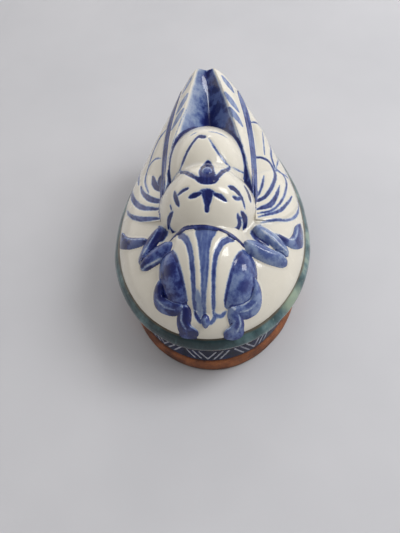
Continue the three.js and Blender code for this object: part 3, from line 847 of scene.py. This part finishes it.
def swept_ring(name, corners, slot, around=420, radius=0.6, spacing=0.6, rough=0.6, paint=None):
    """Sweeps a closed section of (inset, z) corners round the egg."""
    section = fill_section(round_corners(corners, radius), spacing)
    depth = section[None, :, 0]
    angle = full_turn(around)[:, None]
    x, y = egg_point(angle, 1.0, depth)
    z = np.broadcast_to(section[None, :, 1], x.shape)
    waist = SIDE_WAIST * np.sin(angle) ** 2 * unit((19.0 - z) / 6.0) * (depth < 6)
    wobble = rough * ripple(x, y, 2.0 * z)
    x, y = egg_point(angle, 1.0, np.maximum(depth + waist - wobble, 0.0))
    vertices = np.stack([x, y, z], -1).reshape(-1, 3)
    faces = grid_faces(around, len(section), True, ring=True)
    make_piece(name, vertices, faces, slot, paint(x, y, z) if paint else None)


def egg_arc(around=720):
    """Arc length round the egg's outline by angle."""
    angle = np.linspace(-np.pi, np.pi, around + 1)
    x, y = egg_point(angle, 1.0, DOME_INSET)
    arc = np.concatenate([[0], np.cumsum(np.hypot(np.diff(x), np.diff(y)))])
    return angle, arc - arc[around // 2]


ARC_ANGLE, ARC_LENGTH = egg_arc()


def arc_position(x, y):
    """Distance in mm round the egg from the middle of its front, to either side."""
    length = np.where(y < 0, FRONT, BACK)
    angle = np.arctan2(x / (HALF_WIDTH * tail_pinch(y)), -y / length)
    return np.interp(angle, ARC_ANGLE, ARC_LENGTH)


def zigzag_paint(x, y, z):
    """Distance to the nearest white stroke: groups of slanting strokes that lean left and right."""
    arc = arc_position(x, y) + 1.0
    middle = (band_low[2] + band_high[2]) / 2
    group = 9.0
    local = arc % (2 * group)
    within = np.where(local < group, local, 2 * group - local) - group / 2
    slanted = within - 0.75 * (z - middle)
    nearest = np.full(x.shape, 5.0)
    for place in (-3.0, -0.6, 1.8):
        nearest = np.minimum(nearest, np.abs(slanted - place) * 0.8)
    edge = np.abs(z - middle) - 2.4
    value = np.maximum(nearest - 0.27, edge)
    return {"stroke": value.ravel()}


def body_rings():
    swept_ring("foot_ring", [
        (2.8, 0), (2.4, 1.2), (2.4, 3.4), (3.0, foot_top), (9, foot_top), (9, 0),
    ], "terracotta", radius=0.7, rough=1.4)
    swept_ring("pattern_band", [
        (3.3, band_low[2]), (3.4, 8), (3.6, 10.5), (3.8, band_high[2]),
        (WALL_INSET, band_high[2]), (WALL_INSET, band_low[2]),
    ], "band_glaze", around=960, radius=0.4, spacing=0.45, paint=zigzag_paint)
    bottom, top = RIM_BOTTOM + 0.15, RIM_TOP - 0.15
    bulge = smooth_line([
        (3.8, bottom), (2.9, 14.8), (1.4, 17), (0.3, 19), (0, 20.2), (0.4, 21.6), (1.2, 22.8), (2.3, top),
    ], 3)
    swept_ring("rim_band", [(max(0.0, inset), z) for inset, z in bulge] + [
        (WALL_INSET, top), (WALL_INSET, bottom),
    ], "green_glaze", radius=0.35, rough=1.5)


def dome_shell(groups, around=400, rings=110):
    """The white upper shell: painted skin outside, smooth air chamber inside."""
    angle = full_turn(around)
    loops, paint = [], []
    for reach in np.sin(np.linspace(0, np.pi / 2, rings)):
        x, y = egg_point(angle, max(reach, 1e-5), DOME_INSET)
        stack = evaluate(x, y)
        loops.append(np.column_stack([x, y, own_top(0, x, y, stack)]))
        paint.append(painted_distance(loops[-1], groups))
        paint[-1]["seam"] = seam_distance(x, y, stack)
        paint[-1]["wash"] = np.zeros(around)
    x, y = egg_point(angle, 1.0, WALL_INSET)
    loops.append(np.column_stack([x, y, np.full(around, RIM_TOP + 0.15)]))
    for reach in np.linspace(1, 1e-5, 24):
        if dome_rise(reach) > ROOF_THICKNESS + 0.6:
            x, y = egg_point(angle, reach, WALL_INSET)
            z = RIM_TOP - ROOF_THICKNESS + dome_rise(reach)
            loops.append(np.column_stack([x, y, np.full(around, z)]))
    bare = {"ink": SEAM_REACH, "load": 0.0, "wipe": 0.0, "seam": SEAM_REACH, "wash": 0.0}
    inside = (len(loops) - len(paint)) * around
    attributes = {
        key: np.concatenate([row[key] for row in paint] + [np.full(inside, value)])
        for key, value in bare.items()
    }
    faces = grid_faces(len(loops), around, True)
    make_piece("dome_shell", np.vstack(loops), faces, "white_glaze", attributes)


# ---- floor, voicing, mouthpiece ----

FINGER_HOLES = [(-12, -14, 5.0), (12, -14, 4.5), (-12, 14, 4.0), (12, 14, 3.6)]
WINDOW_NEAR = 50.0
WINDOW_FAR = 44.8
WINDOW_HALF = 5.3
LABIUM_LENGTH = 8.0
MOUTH_HALF = (11.5, 7.5)
MOUTH_TIP_HEIGHT = 14.0
PLATE_GAP = 0.3


def closed_outline(curve, points):
    spline = curve.splines.new("POLY")
    spline.points.add(len(points) - 1)
    for target, (x, y) in zip(spline.points, points):
        target.co = (x / MM, (y + STATION) / MM, 0, 1)
    spline.use_cyclic_u = True


def plate_outlines():
    """The plate's rim, cut in at the tail for the mouthpiece and the window, and its finger holes."""
    angle = full_turn(240)
    x, y = egg_point(angle, 1.0, WALL_INSET + PLATE_GAP)
    notch = MOUTH_HALF[0] + PLATE_GAP
    heel = WINDOW_FAR - LABIUM_LENGTH - PLATE_GAP
    keep = ~((np.abs(x) < notch) & (y > WINDOW_NEAR))
    x, y, keep = (np.roll(values, -int(np.argmax(~keep))) for values in (x, y, keep))
    x, y = x[keep], y[keep]
    cut = [
        (notch, y[-1] + 0.5), (notch, WINDOW_NEAR), (WINDOW_HALF, WINDOW_NEAR), (WINDOW_HALF, heel),
        (-WINDOW_HALF, heel), (-WINDOW_HALF, WINDOW_NEAR), (-notch, WINDOW_NEAR), (-notch, y[0] + 0.5),
    ]
    outlines = [list(zip(x, y)) + cut]
    turn = full_turn(64)
    for hole_x, hole_y, radius in FINGER_HOLES:
        outlines.append(list(zip(hole_x + radius * np.cos(turn), hole_y + radius * np.sin(turn))))
    return outlines


def base_plate(bevel=0.5):
    """The chamber's floor with rounded finger holes and the window in front of the labium."""
    curve = bpy.data.curves.new("base_plate", "CURVE")
    curve.dimensions, curve.fill_mode = "2D", "BOTH"
    curve.extrude = (plate_high[2] - plate_low[2]) / 2 / MM - bevel / MM
    curve.bevel_depth, curve.bevel_resolution = bevel / MM, 3
    curve.offset = -bevel / MM
    for outline in plate_outlines():
        closed_outline(curve, outline)
    source = link(bpy.data.objects.new("plate_outline", curve))
    bpy.context.view_layer.update()
    flat = bpy.data.meshes.new_from_object(source.evaluated_get(bpy.context.evaluated_depsgraph_get()))
    bpy.data.objects.remove(source)
    points = np.array([vertex.co for vertex in flat.vertices]) * MM - (0, STATION, 0)
    points[:, 2] += (plate_low[2] + plate_high[2]) / 2
    faces = [list(face.vertices) for face in flat.polygons]
    make_piece("base_plate", points, faces, "terracotta", sharp=30)


def labium():
    """The wedge whose sharp edge splits the air stream."""
    heel = WINDOW_FAR - LABIUM_LENGTH
    edge = plate_low[2] + 2.2
    section = round_corners([
        (heel, plate_low[2]), (WINDOW_FAR, edge - 0.25), (WINDOW_FAR, edge + 0.25),
        (WINDOW_FAR - 3, plate_high[2]), (heel, plate_high[2]),
    ], 0.25, 3)
    widths = [-5.0, -4.8, -2.5, 0.0, 2.5, 4.8, 5.0]
    middle, count = section.mean(0), len(section)
    loops = []
    for x in widths:
        shrink = 0.96 if abs(x) > 4.9 else 1.0
        loops.append(np.column_stack([np.full(count, x), middle + (section - middle) * shrink]))
    faces = [list(face) for face in grid_faces(len(widths), count, True)]
    faces += [list(range(count)), list(range((len(widths) - 1) * count, len(widths) * count))]
    make_piece("labium", np.vstack(loops), faces, "terracotta", sharp=40)


def superellipse(half_width, half_height, middle, count=64, power=0.55):
    angle = full_turn(count)
    c, s = np.cos(angle), np.sin(angle)
    x = half_width * np.sign(c) * np.abs(c) ** power
    return x, middle + half_height * np.sign(s) * np.abs(s) ** power


def mouthpiece():
    """The beak: a flattened tube whose bore is the thin windway."""
    tip = mouth_end - STATION
    stations = np.linspace(0, 1, 30)
    outside, bore = [], []
    for t in stations:
        lip = 0.9 * max(0.0, (t - 0.93) / 0.07) ** 2
        middle = mix(plate_low[2] + 5.4, MOUTH_TIP_HEIGHT, t)
        outside.append(superellipse(mix(*MOUTH_HALF, t) - lip, mix(5.2, 3.0, t) - lip, middle))
        middle = mix(plate_low[2] + 2.2, MOUTH_TIP_HEIGHT, t)
        bore.append(superellipse(4.6, 0.9, middle, power=0.25))
    along = mix(WINDOW_NEAR, tip, np.concatenate([stations, stations[::-1]]))
    sections = outside + bore[::-1]
    loops = [np.column_stack([x, np.full(len(x), y), z]) for y, (x, z) in zip(along, sections)]
    vertices = np.vstack(loops)
    x, y, z = vertices.T
    vertices[:, 2] += 0.6 * ripple(x, y, z) * (np.abs(x) > 5.5)
    faces = grid_faces(len(sections), len(sections[0][0]), True, ring=True)
    make_piece("mouthpiece", vertices, faces, "terracotta", sharp=40)


# ---- materials ----

class Graph:
    """Builds the nodes of a material or a world."""

    def __init__(self, owner, coords="Object"):
        owner.use_nodes = True
        self.owner, self.tree = owner, owner.node_tree
        self.tree.nodes.clear()
        self.position = self.node("TexCoord").outputs[coords]

    def node(self, kind, inputs=None, **settings):
        """Makes a node, and sets or links its inputs by name or number."""
        made = self.tree.nodes.new("ShaderNode" + kind)
        for key, value in settings.items():
            setattr(made, key, value)
        for key, value in (inputs or {}).items():
            socket = made.inputs[key]
            if isinstance(value, bpy.types.NodeSocket):
                self.tree.links.new(value, socket)
            else:
                socket.default_value = (*value, 1) if socket.type == "RGBA" else value
        return made

    def math(self, operation, a, b=0.0, clamp=False):
        return self.node("Math", {0: a, 1: b}, operation=operation, use_clamp=clamp).outputs[0]

    def chain(self, operation, first, *others, clamp=False):
        for other in others:
            first = self.math(operation, first, other, clamp)
        return first

    def plus(self, *values, clamp=False):
        return self.chain("ADD", *values, clamp=clamp)

    def times(self, *values, clamp=False):
        return self.chain("MULTIPLY", *values, clamp=clamp)

    def minus(self, a, b):
        return self.math("SUBTRACT", a, b)

    def attribute(self, name):
        return self.node("Attribute", attribute_name=name).outputs["Fac"]

    def noise(self, scale, detail=3.0, roughness=0.55, stretch=None):
        place = self.position
        if stretch:
            place = self.node("Mapping", {"Vector": place, "Scale": stretch}).outputs[0]
        inputs = {"Scale": scale, "Detail": detail, "Roughness": roughness, "Vector": place}
        return self.node("TexNoise", inputs).outputs["Fac"]

    def fit(self, value, low, high, to_low=0.0, to_high=1.0, curve="SMOOTHSTEP"):
        inputs = {"Value": value, "From Min": low, "From Max": high, "To Min": to_low, "To Max": to_high}
        return self.node("MapRange", inputs, interpolation_type=curve).outputs[0]

    def ramp(self, value, stops):
        made = self.node("ValToRGB", {"Fac": value})
        elements = made.color_ramp.elements
        while len(elements) < len(stops):
            elements.new(0.5)
        for element, (place, colour) in zip(elements, stops):
            element.position = place
            element.color = (*colour, 1)
        return made.outputs[0]

    def blend(self, factor, a, b, mode="MIX"):
        return self.node("Mix", {0: factor, 6: a, 7: b}, data_type="RGBA", blend_type=mode).outputs[2]

    def bump(self, height, strength, distance_mm):
        inputs = {"Height": height, "Strength": strength, "Distance": distance_mm / MM}
        return self.node("Bump", inputs).outputs[0]

    def finish(self, color, roughness, normal, coat=None):
        """Bare clay or cloth, or glaze where coat gives the clear coat's weight and roughness."""
        inputs = {"Base Color": color, "Roughness": roughness, "Normal": normal}
        if coat:
            inputs.update({"Specular IOR Level": 0.15, "Coat Weight": coat[0], "Coat Roughness": coat[1]})
        shader = self.node("BsdfPrincipled", inputs)
        self.node("OutputMaterial", {0: shader.outputs[0]})
        return self.owner


def new_material(name):
    return Graph(bpy.data.materials.new(name))


COBALT_STOPS = [
    (0.0, (0.69, 0.655, 0.57)),
    (0.18, (0.47, 0.51, 0.58)),
    (0.42, (0.21, 0.28, 0.45)),
    (0.65, (0.075, 0.115, 0.295)),
    (0.85, (0.022, 0.036, 0.17)),
    (1.0, (0.006, 0.011, 0.095)),
]


def brushed_line(g, wander, brushing):
    """How densely the strokes are painted: uneven edges, streaks, and a little more just inside."""
    drift = g.times(g.minus(g.noise(520, 2.0), 0.5), 0.5)
    ink = g.plus(g.attribute("ink"), wander, drift)
    streaks = g.noise(1.0, 3.0, 0.6, stretch=(900, 130, 500))
    patchy = g.times(g.fit(brushing, 0.34, 0.66, 0.9, 1.12), g.fit(streaks, 0.3, 0.7, 0.84, 1.12))
    inside = g.math("ABSOLUTE", g.plus(ink, 0.5))
    patchy = g.plus(patchy, g.fit(inside, 0.5, 0.1, 0.0, 0.08))
    return g.times(g.fit(ink, 0.34, -0.32), patchy, g.attribute("load"))


def pooled_wash(g, brushing, hollow):
    """How thick the wash lies: more in the hollows, less on the crests."""
    crest = g.fit(g.attribute("pool"), 0.4, 0.9)
    thick = g.plus(g.fit(brushing, 0.36, 0.64, 0.46, 0.82), g.times(hollow, 0.32))
    return g.times(g.attribute("wash"), g.minus(thick, g.times(crest, 0.30)), clamp=True)


def painted_glaze():
    """Tin-white glaze with cobalt lines, washes and pooled colour in the joints."""
    g = new_material("painted_glaze")
    edge_noise = g.noise(1500, 2.0)
    load_noise = g.noise(330, 3.0)
    brushing = g.noise(190, 4.0, 0.6)
    wander = g.times(g.minus(edge_noise, 0.5), 0.4)
    seam = g.plus(g.attribute("seam"), g.times(wander, 1.6))
    joint = g.times(g.fit(seam, 1.3, 0.35), g.fit(load_noise, 0.25, 0.7, 0.6, 1.0))
    hollow = g.fit(g.attribute("pool"), 0.02, -0.25)
    line, wash = brushed_line(g, wander, brushing), pooled_wash(g, brushing, hollow)
    density = g.chain("MAXIMUM", line, joint, wash)
    wiped = g.times(g.attribute("wipe"), g.fit(edge_noise, 0.3, 0.7, 0.5, 0.9))
    density = g.times(density, g.minus(1.0, wiped))
    cobalt = g.ramp(g.plus(density, g.times(hollow, 0.05), clamp=True), COBALT_STOPS)
    mottle = g.fit(g.noise(120, 4.0), 0.35, 0.7, 0.0, 0.10)
    color = g.blend(mottle, cobalt, (0.62, 0.60, 0.55), "MULTIPLY")
    specks = g.fit(g.noise(2600, 1.0), 0.74, 0.80, 0.0, 0.35)
    color = g.blend(specks, color, (0.35, 0.29, 0.22), "MULTIPLY")
    surface = g.plus(g.noise(260, 2.0), g.times(density, -0.12))
    roughness = g.fit(load_noise, 0.2, 0.8, 0.20, 0.30)
    return g.finish(color, roughness, g.bump(surface, 0.35, 0.12), coat=(0.85, 0.06))


# A pale spot on the rim's right front, in the row frame: painted highlight, partly a thin run of the glaze.
HIGHLIGHT_AND_THIN_RUN = (0.0285, -0.0435, 0.021)


def green_glaze():
    """Translucent copper green: darker at the front as painted shade, paler to the sides and on the
    right as painted side light, with a brown line along its upper edge."""
    g = new_material("green_glaze")
    runs = g.noise(1.0, 4.0, stretch=(160, 160, 45))
    cloud = g.noise(90, 4.0)
    thin_glaze_and_side_light = g.plus(g.times(runs, 0.6), g.times(cloud, 0.4))
    split = g.node("SeparateXYZ", {0: g.position})
    # Paler towards the sides and most on the right (+X): painted side light, which leaves the front dark as
    # painted shade.
    lit_side = g.times(split.outputs["X"], 0.3)
    painted_side_light = g.fit(g.plus(g.math("ABSOLUTE", split.outputs["X"]), lit_side), 0.010, 0.034)
    thin_glaze_and_side_light = g.plus(g.fit(thin_glaze_and_side_light, 0.35, 0.68, 0.0, 0.7), g.times(painted_side_light, 0.4))
    color = g.ramp(thin_glaze_and_side_light, [
        (0.0, (0.004, 0.017, 0.022)),
        (0.3, (0.011, 0.036, 0.043)),
        (0.6, (0.045, 0.10, 0.11)),
        (0.8, (0.10, 0.175, 0.185)),
        (1.0, (0.21, 0.29, 0.25)),
    ])
    pale = g.fit(g.noise(420, 3.0), 0.62, 0.76, 0.0, 0.5)
    color = g.blend(g.times(pale, painted_side_light), color, (0.26, 0.33, 0.24))
    # The pale spot at the right front: painted highlight, partly glaze run thin.
    apart = g.node("VectorMath", {0: g.position, 1: HIGHLIGHT_AND_THIN_RUN}, operation="DISTANCE").outputs["Value"]
    highlight_and_thin_run = g.fit(g.plus(apart, g.times(cloud, 0.009)), 0.0115, 0.006, 0.0, 0.75)
    color = g.blend(highlight_and_thin_run, color, (0.30, 0.38, 0.27))
    top = RIM_TOP / MM
    edge = g.plus(split.outputs["Z"], g.times(cloud, 0.0008))
    color = g.blend(g.fit(edge, top - 0.0004, top + 0.0002, 0.0, 0.8), color, (0.12, 0.085, 0.05))
    normal = g.bump(g.noise(240, 3.0), 0.5, 0.2)
    return g.finish(color, 0.2, normal, coat=(0.85, 0.05))


def band_glaze():
    """Deep blue band with scratched-in white strokes."""
    g = new_material("band_glaze")
    edge = g.times(g.minus(g.noise(1400, 2.0), 0.5), 0.5)
    stroke_mask = g.fit(g.plus(g.attribute("stroke"), edge), 0.16, -0.12)
    patch = g.fit(g.noise(420, 2.0), 0.25, 0.6, 0.45, 1.0)
    blue = g.ramp(g.noise(300, 4.0), [
        (0.3, (0.004, 0.006, 0.018)),
        (0.6, (0.007, 0.011, 0.055)),
        (0.8, (0.03, 0.04, 0.11)),
    ])
    color = g.blend(g.times(stroke_mask, patch), blue, (0.42, 0.43, 0.48))
    normal = g.bump(g.plus(g.noise(500, 2.0), g.times(stroke_mask, 0.4)), 0.4, 0.12)
    return g.finish(color, 0.25, normal, coat=(0.35, 0.08))


def terracotta():
    """Bare fired clay: warm orange with darker kiln stains and an open grain."""
    g = new_material("terracotta")
    cloud = g.noise(75, 5.0, 0.6)
    grain = g.noise(1700, 4.0, 0.7)
    color = g.ramp(g.plus(g.times(cloud, 0.75), g.times(grain, 0.25)), [
        (0.34, (0.045, 0.020, 0.014)),
        (0.45, (0.15, 0.052, 0.026)),
        (0.55, (0.34, 0.118, 0.044)),
        (0.70, (0.52, 0.22, 0.09)),
    ])
    # Darker towards the bottom of the clay.
    height = g.node("SeparateXYZ", {0: g.position}).outputs["Z"]
    darker_at_bottom = g.fit(g.plus(height, g.times(cloud, -0.004)), 0.0008, -0.0022, 0.0, 0.75)
    color = g.blend(darker_at_bottom, color, (0.045, 0.028, 0.022))
    pores = g.fit(g.noise(3200, 2.0), 0.66, 0.74, 0.0, 0.7)
    color = g.blend(pores, color, (0.10, 0.04, 0.025))
    relief_height = g.minus(g.plus(grain, g.times(cloud, 2.0)), pores)
    roughness = g.fit(grain, 0.2, 0.8, 0.62, 0.9)
    return g.finish(color, roughness, g.bump(relief_height, 0.6, 0.18))


def floor_cloth():
    """Plain pale floor with the faintest weave."""
    g = new_material("pale_floor")
    tone = g.ramp(g.noise(14, 3.0), [(0.3, (0.575, 0.58, 0.61)), (0.7, (0.625, 0.628, 0.658))])
    return g.finish(tone, 0.9, g.bump(g.noise(900, 2.0), 0.15, 0.1))


# ---- relief pieces ----

# The strokes on each middle piece, and how thickly the cobalt wash lies on it.
MIDDLE_PIECES = {
    "thorax": ({"trunk"}, 0.0),
    "head": ({"head"}, 0.0),
    "scutellum": ({"scutellum"}, 1.6),
    "rostrum": (set(), 1.2),
}


def trunk_pieces():
    for name, (groups, wash) in MIDDLE_PIECES.items():
        seat = trunk if name == "scutellum" else dome
        x, y = mound_grid(FORMS[name], *MOUNDS[name][:3], seat)
        relief(name, x, y, True, seat, groups, "white_glaze", wash=wash, engrave=0.3)
    x, y = mound_grid(abdomen, (-1.3, 20.6), (18.6, 22.8), 0, dome)
    relief("abdomen", x, y, True, dome, {"trunk"}, "white_glaze", engrave=0.25)
    x, y = ridge_grid(FORMS["collar"], 120, 24)
    relief("collar", x, y, False, trunk, set(), "cobalt_glaze", solid=0.9)


def head_or_dome(x, y):
    return np.maximum(head(x, y), dome(x, y))


# How thickly the cobalt wash lies on each eye and leg. The left ones carry more, which is painted shade on
# the side turned away from the light.
WASHES_AND_LEFT_SHADE = {
    "eye": {"left": 1.3, "right": 1.05},
    "midleg": {"left": 1.32, "right": 0.84},
    "midleg_foot": {"left": 1.5, "right": 1.12},
    "foreleg": {"left": 1.25, "right": 1.02},
    "foreleg_foot": {"left": 1.5, "right": 1.12},
}


def paired_pieces(label, side):
    name = f"eye_{label}"
    x, y = mound_grid(FORMS[name], *MOUNDS[name][:3], head_or_dome)
    relief(name, x, y, True, head_or_dome, {name}, "cobalt_glaze", wash=WASHES_AND_LEFT_SHADE["eye"][label])
    for leg_name in ("midleg", "midleg_foot", "foreleg", "foreleg_foot"):
        name = f"{leg_name}_{label}"
        x, y = leg_grid(BARS[name])
        relief(name, x, y, False, dome, {name}, "cobalt_glaze", wash=WASHES_AND_LEFT_SHADE[leg_name][label])
    wing_name = f"wing_{label}"
    x, y = clavus_grid(side)
    s = np.abs(x - lean(y)).ravel()
    crest = inner_edge(y.ravel(), side)[0]
    depth = unit(1 - s / crest)
    # The trough's wash: on the left wall it grows from light at the crest to dark at the valley, on the
    # right wall it is dark all over. The light left wall is painted light and the dark right wall painted
    # shade.
    trough_wash_and_shade = unit((crest - 0.4 - s) / 0.8) * (0.62 + 0.85 * depth ** 2 if side < 0 else 1.42)
    relief(f"clavus_{label}", x, y, False, rim_or_dome, {f"clavus_{label}"}, "wing_glaze",
           form=wing_name, foot=tail_foot, wash=trough_wash_and_shade)
    x, y = panel_grid(side)
    relief(wing_name, x, y, False, rim_or_dome, {wing_name}, "wing_glaze", foot=tail_foot, engrave=0.15)
    x, y = ridge_grid(FORMS[f"rib_{label}"], 220, 18)
    relief(f"rib_{label}", x, y, False, FORMS[wing_name], set(), "wing_glaze",
           solid=WING_SIDES[side]["load"])


def leg_grid(bars):
    """Plan points over one leg: a strip over its bar, or one patch over both where there are two."""
    if len(bars) == 1:
        return ridge_grid(bars[0])
    front, back = (ridge_grid(bar, 90, 60) for bar in bars)
    near, far = (0, -1) if front[1][0, 0] < front[1][0, -1] else (-1, 0)
    x = np.array([np.linspace(a[near], b[far], 60) for a, b in zip(front[0], back[0])])
    y = np.array([np.linspace(a[near], b[far], 60) for a, b in zip(front[1], back[1])])
    return x, y


def rim_or_dome(x, y):
    return np.maximum(dome(x, y), RIM_TOP + 0.5)


def tail_foot(points):
    """Draws the foot of the wings in under the tail."""
    moved = points.copy()
    moved[:, 1] -= TAIL_SLOPE * (np.maximum(0, points[:, 1]) / WING_TIP) ** 4
    return moved


# The rear edge of the inner strip: distances from the middle, and how far back it reaches there.
TAIL_EDGE = [0, 1.5, 3.3, 5, 7, 9, 10.8, 12.2], [65.1, 65.9, 66.2, 65.5, 64.4, 62.7, 61.1, 60]


def clavus_grid(side, length=150, across=56):
    t = np.linspace(0, 1, length)[:, None]
    b = np.linspace(0, 1, across)[None, :]
    tail_x = b * (rib_line(62, side)[0] + 0.4)
    tail_y = np.interp(tail_x, *TAIL_EDGE)
    y = mix(7.0, 66.3, t) - (66.3 - tail_y) * t ** 3
    s = b * (rib_line(y, side)[0] + 0.4)
    return s * side + lean(y), y


def panel_grid(side, length=170, across=90):
    """A patch between the thick vein, the wing's outline, its front edge and its tail."""
    a = np.linspace(0, 1, length)[:, None, None]
    b = np.linspace(0, 1, across)[None, :, None]
    rib_y = mix(-4.0, RIB_BACK, np.linspace(0, 1, length))
    tuck = 0.4 + 3.4 * unit((9 - rib_y) / 9)
    inner = np.column_stack([rib_line(rib_y, side)[0] - tuck, rib_y])
    outer = resample(WING_EDGE, length)
    front = resample(smooth_line([tuple(inner[0])] + WING_FRONT_EDGE[1:]), across)
    back = np.linspace(inner[-1], outer[-1], across)
    side_to_side = (1 - b) * inner[:, None] + b * outer[:, None]
    end_to_end = (1 - a) * front[None] + a * back[None]
    corners = (1 - a) * ((1 - b) * inner[0] + b * outer[0])
    corners = corners + a * ((1 - b) * inner[-1] + b * outer[-1])
    plan = side_to_side + end_to_end - corners
    return plan[..., 0] * side + lean(plan[..., 1]), plan[..., 1]


def resample(path, count):
    steps = np.concatenate([[0], np.cumsum(np.linalg.norm(np.diff(path, axis=0), axis=1))])
    even = np.linspace(0, steps[-1], count)
    return np.column_stack([np.interp(even, steps, path[:, k]) for k in range(2)])


# ---- camera, light and floor ----

def camera_basis():
    a, e, r = (math.radians(CAMERA[key]) for key in ("azimuth", "elevation", "roll"))
    back = np.array([math.sin(a) * math.cos(e), -math.cos(a) * math.cos(e), math.sin(e)])
    right = np.array([math.cos(a), math.sin(a), 0.0])
    up = np.cross(back, right)
    turned = math.cos(r) * right + math.sin(r) * up
    return turned, np.cross(back, turned), back


def add_camera():
    data = bpy.data.cameras.new("camera")
    data.sensor_width = 36.0
    data.lens = data.sensor_width / 2 / math.tan(math.radians(FIELD_OF_VIEW) / 2)
    data.clip_start = 0.01
    camera = link(bpy.data.objects.new("camera", data))
    right, up, back = camera_basis()
    place = to_row(np.array(CAMERA_TARGET) + back * CAMERA["distance"])
    turn = Matrix([list(row) for row in np.column_stack([right, up, back])])
    camera.matrix_world = Matrix.Translation(place) @ turn.to_4x4()
    bpy.context.scene.camera = camera


def add_light(name, place, size, power, color=(1, 1, 1), mirrored=True):
    """A rectangular lamp aimed at the object. An unmirrored one leaves no highlight on the glaze."""
    data = bpy.data.lights.new(name, "AREA")
    data.shape, data.size, data.size_y = "RECTANGLE", size[0], size[1]
    data.energy, data.color = power, color
    light = link(bpy.data.objects.new(name, data))
    light.location = place
    light.rotation_euler = (Vector((0, 0, 0.02)) - Vector(place)).to_track_quat("-Z", "Y").to_euler()
    light.visible_glossy = mirrored


def add_sky():
    """An even surround, paler towards the horizon than overhead and dimmer behind the camera."""
    world = bpy.data.worlds.new("studio")
    g = Graph(world, "Generated")
    split = g.node("SeparateXYZ", {0: g.position}).outputs
    overhead = g.fit(split["Z"], 0.1, 0.85, 1.05, 0.23, "LINEAR")
    beyond = g.fit(split["Y"], -0.8, 0.8, 0.5, 1.25, "LINEAR")
    light = g.node("Background", {0: (1.0, 0.975, 0.96), 1: g.times(overhead, beyond)})
    g.node("OutputWorld", {0: light.outputs[0]})
    bpy.context.scene.world = world


FLOOR_HALF = 1.5


def studio():
    add_sky()
    bpy.context.scene.view_settings.view_transform = "Standard"
    add_light("daylight", (0.55, 0.08, 0.58), (0.6, 0.5), 2.4, color=(0.98, 0.99, 1.0), mirrored=False)
    add_light("ceiling", (-0.15, 0.15, 0.98), (1.1, 1.1), 2.25, color=(1.0, 0.96, 0.92), mirrored=False)
    add_light("window", (0.44, 0.14, 0.52), (0.17, 0.25), 1.1)
    add_light("far_window", (0.05, 0.74, 0.46), (0.14, 0.08), 0.3)
    corners = [(x * FLOOR_HALF, y * FLOOR_HALF, 0) for x, y in ((-1, -1), (1, -1), (1, 1), (-1, 1))]
    mesh = bpy.data.meshes.new("floor")
    mesh.from_pydata(corners, [], [(0, 1, 2, 3)])
    floor = link(bpy.data.objects.new("floor", mesh))
    mesh.materials.append(floor_cloth())


# ---- build ----

def build():
    paint_relief()
    body_rings()
    dome_shell({"head", "wing_left", "wing_right"})
    base_plate()
    labium()
    mouthpiece()
    trunk_pieces()
    for label, side in SIDES.items():
        paired_pieces(label, side)
    glazes = {
        "terracotta": terracotta(), "green_glaze": green_glaze(), "band_glaze": band_glaze(),
    }
    painted = painted_glaze()
    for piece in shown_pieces():
        piece.data.materials.clear()
        piece.data.materials.append(glazes.get(piece.get("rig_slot"), painted))


build()
add_camera()
studio()
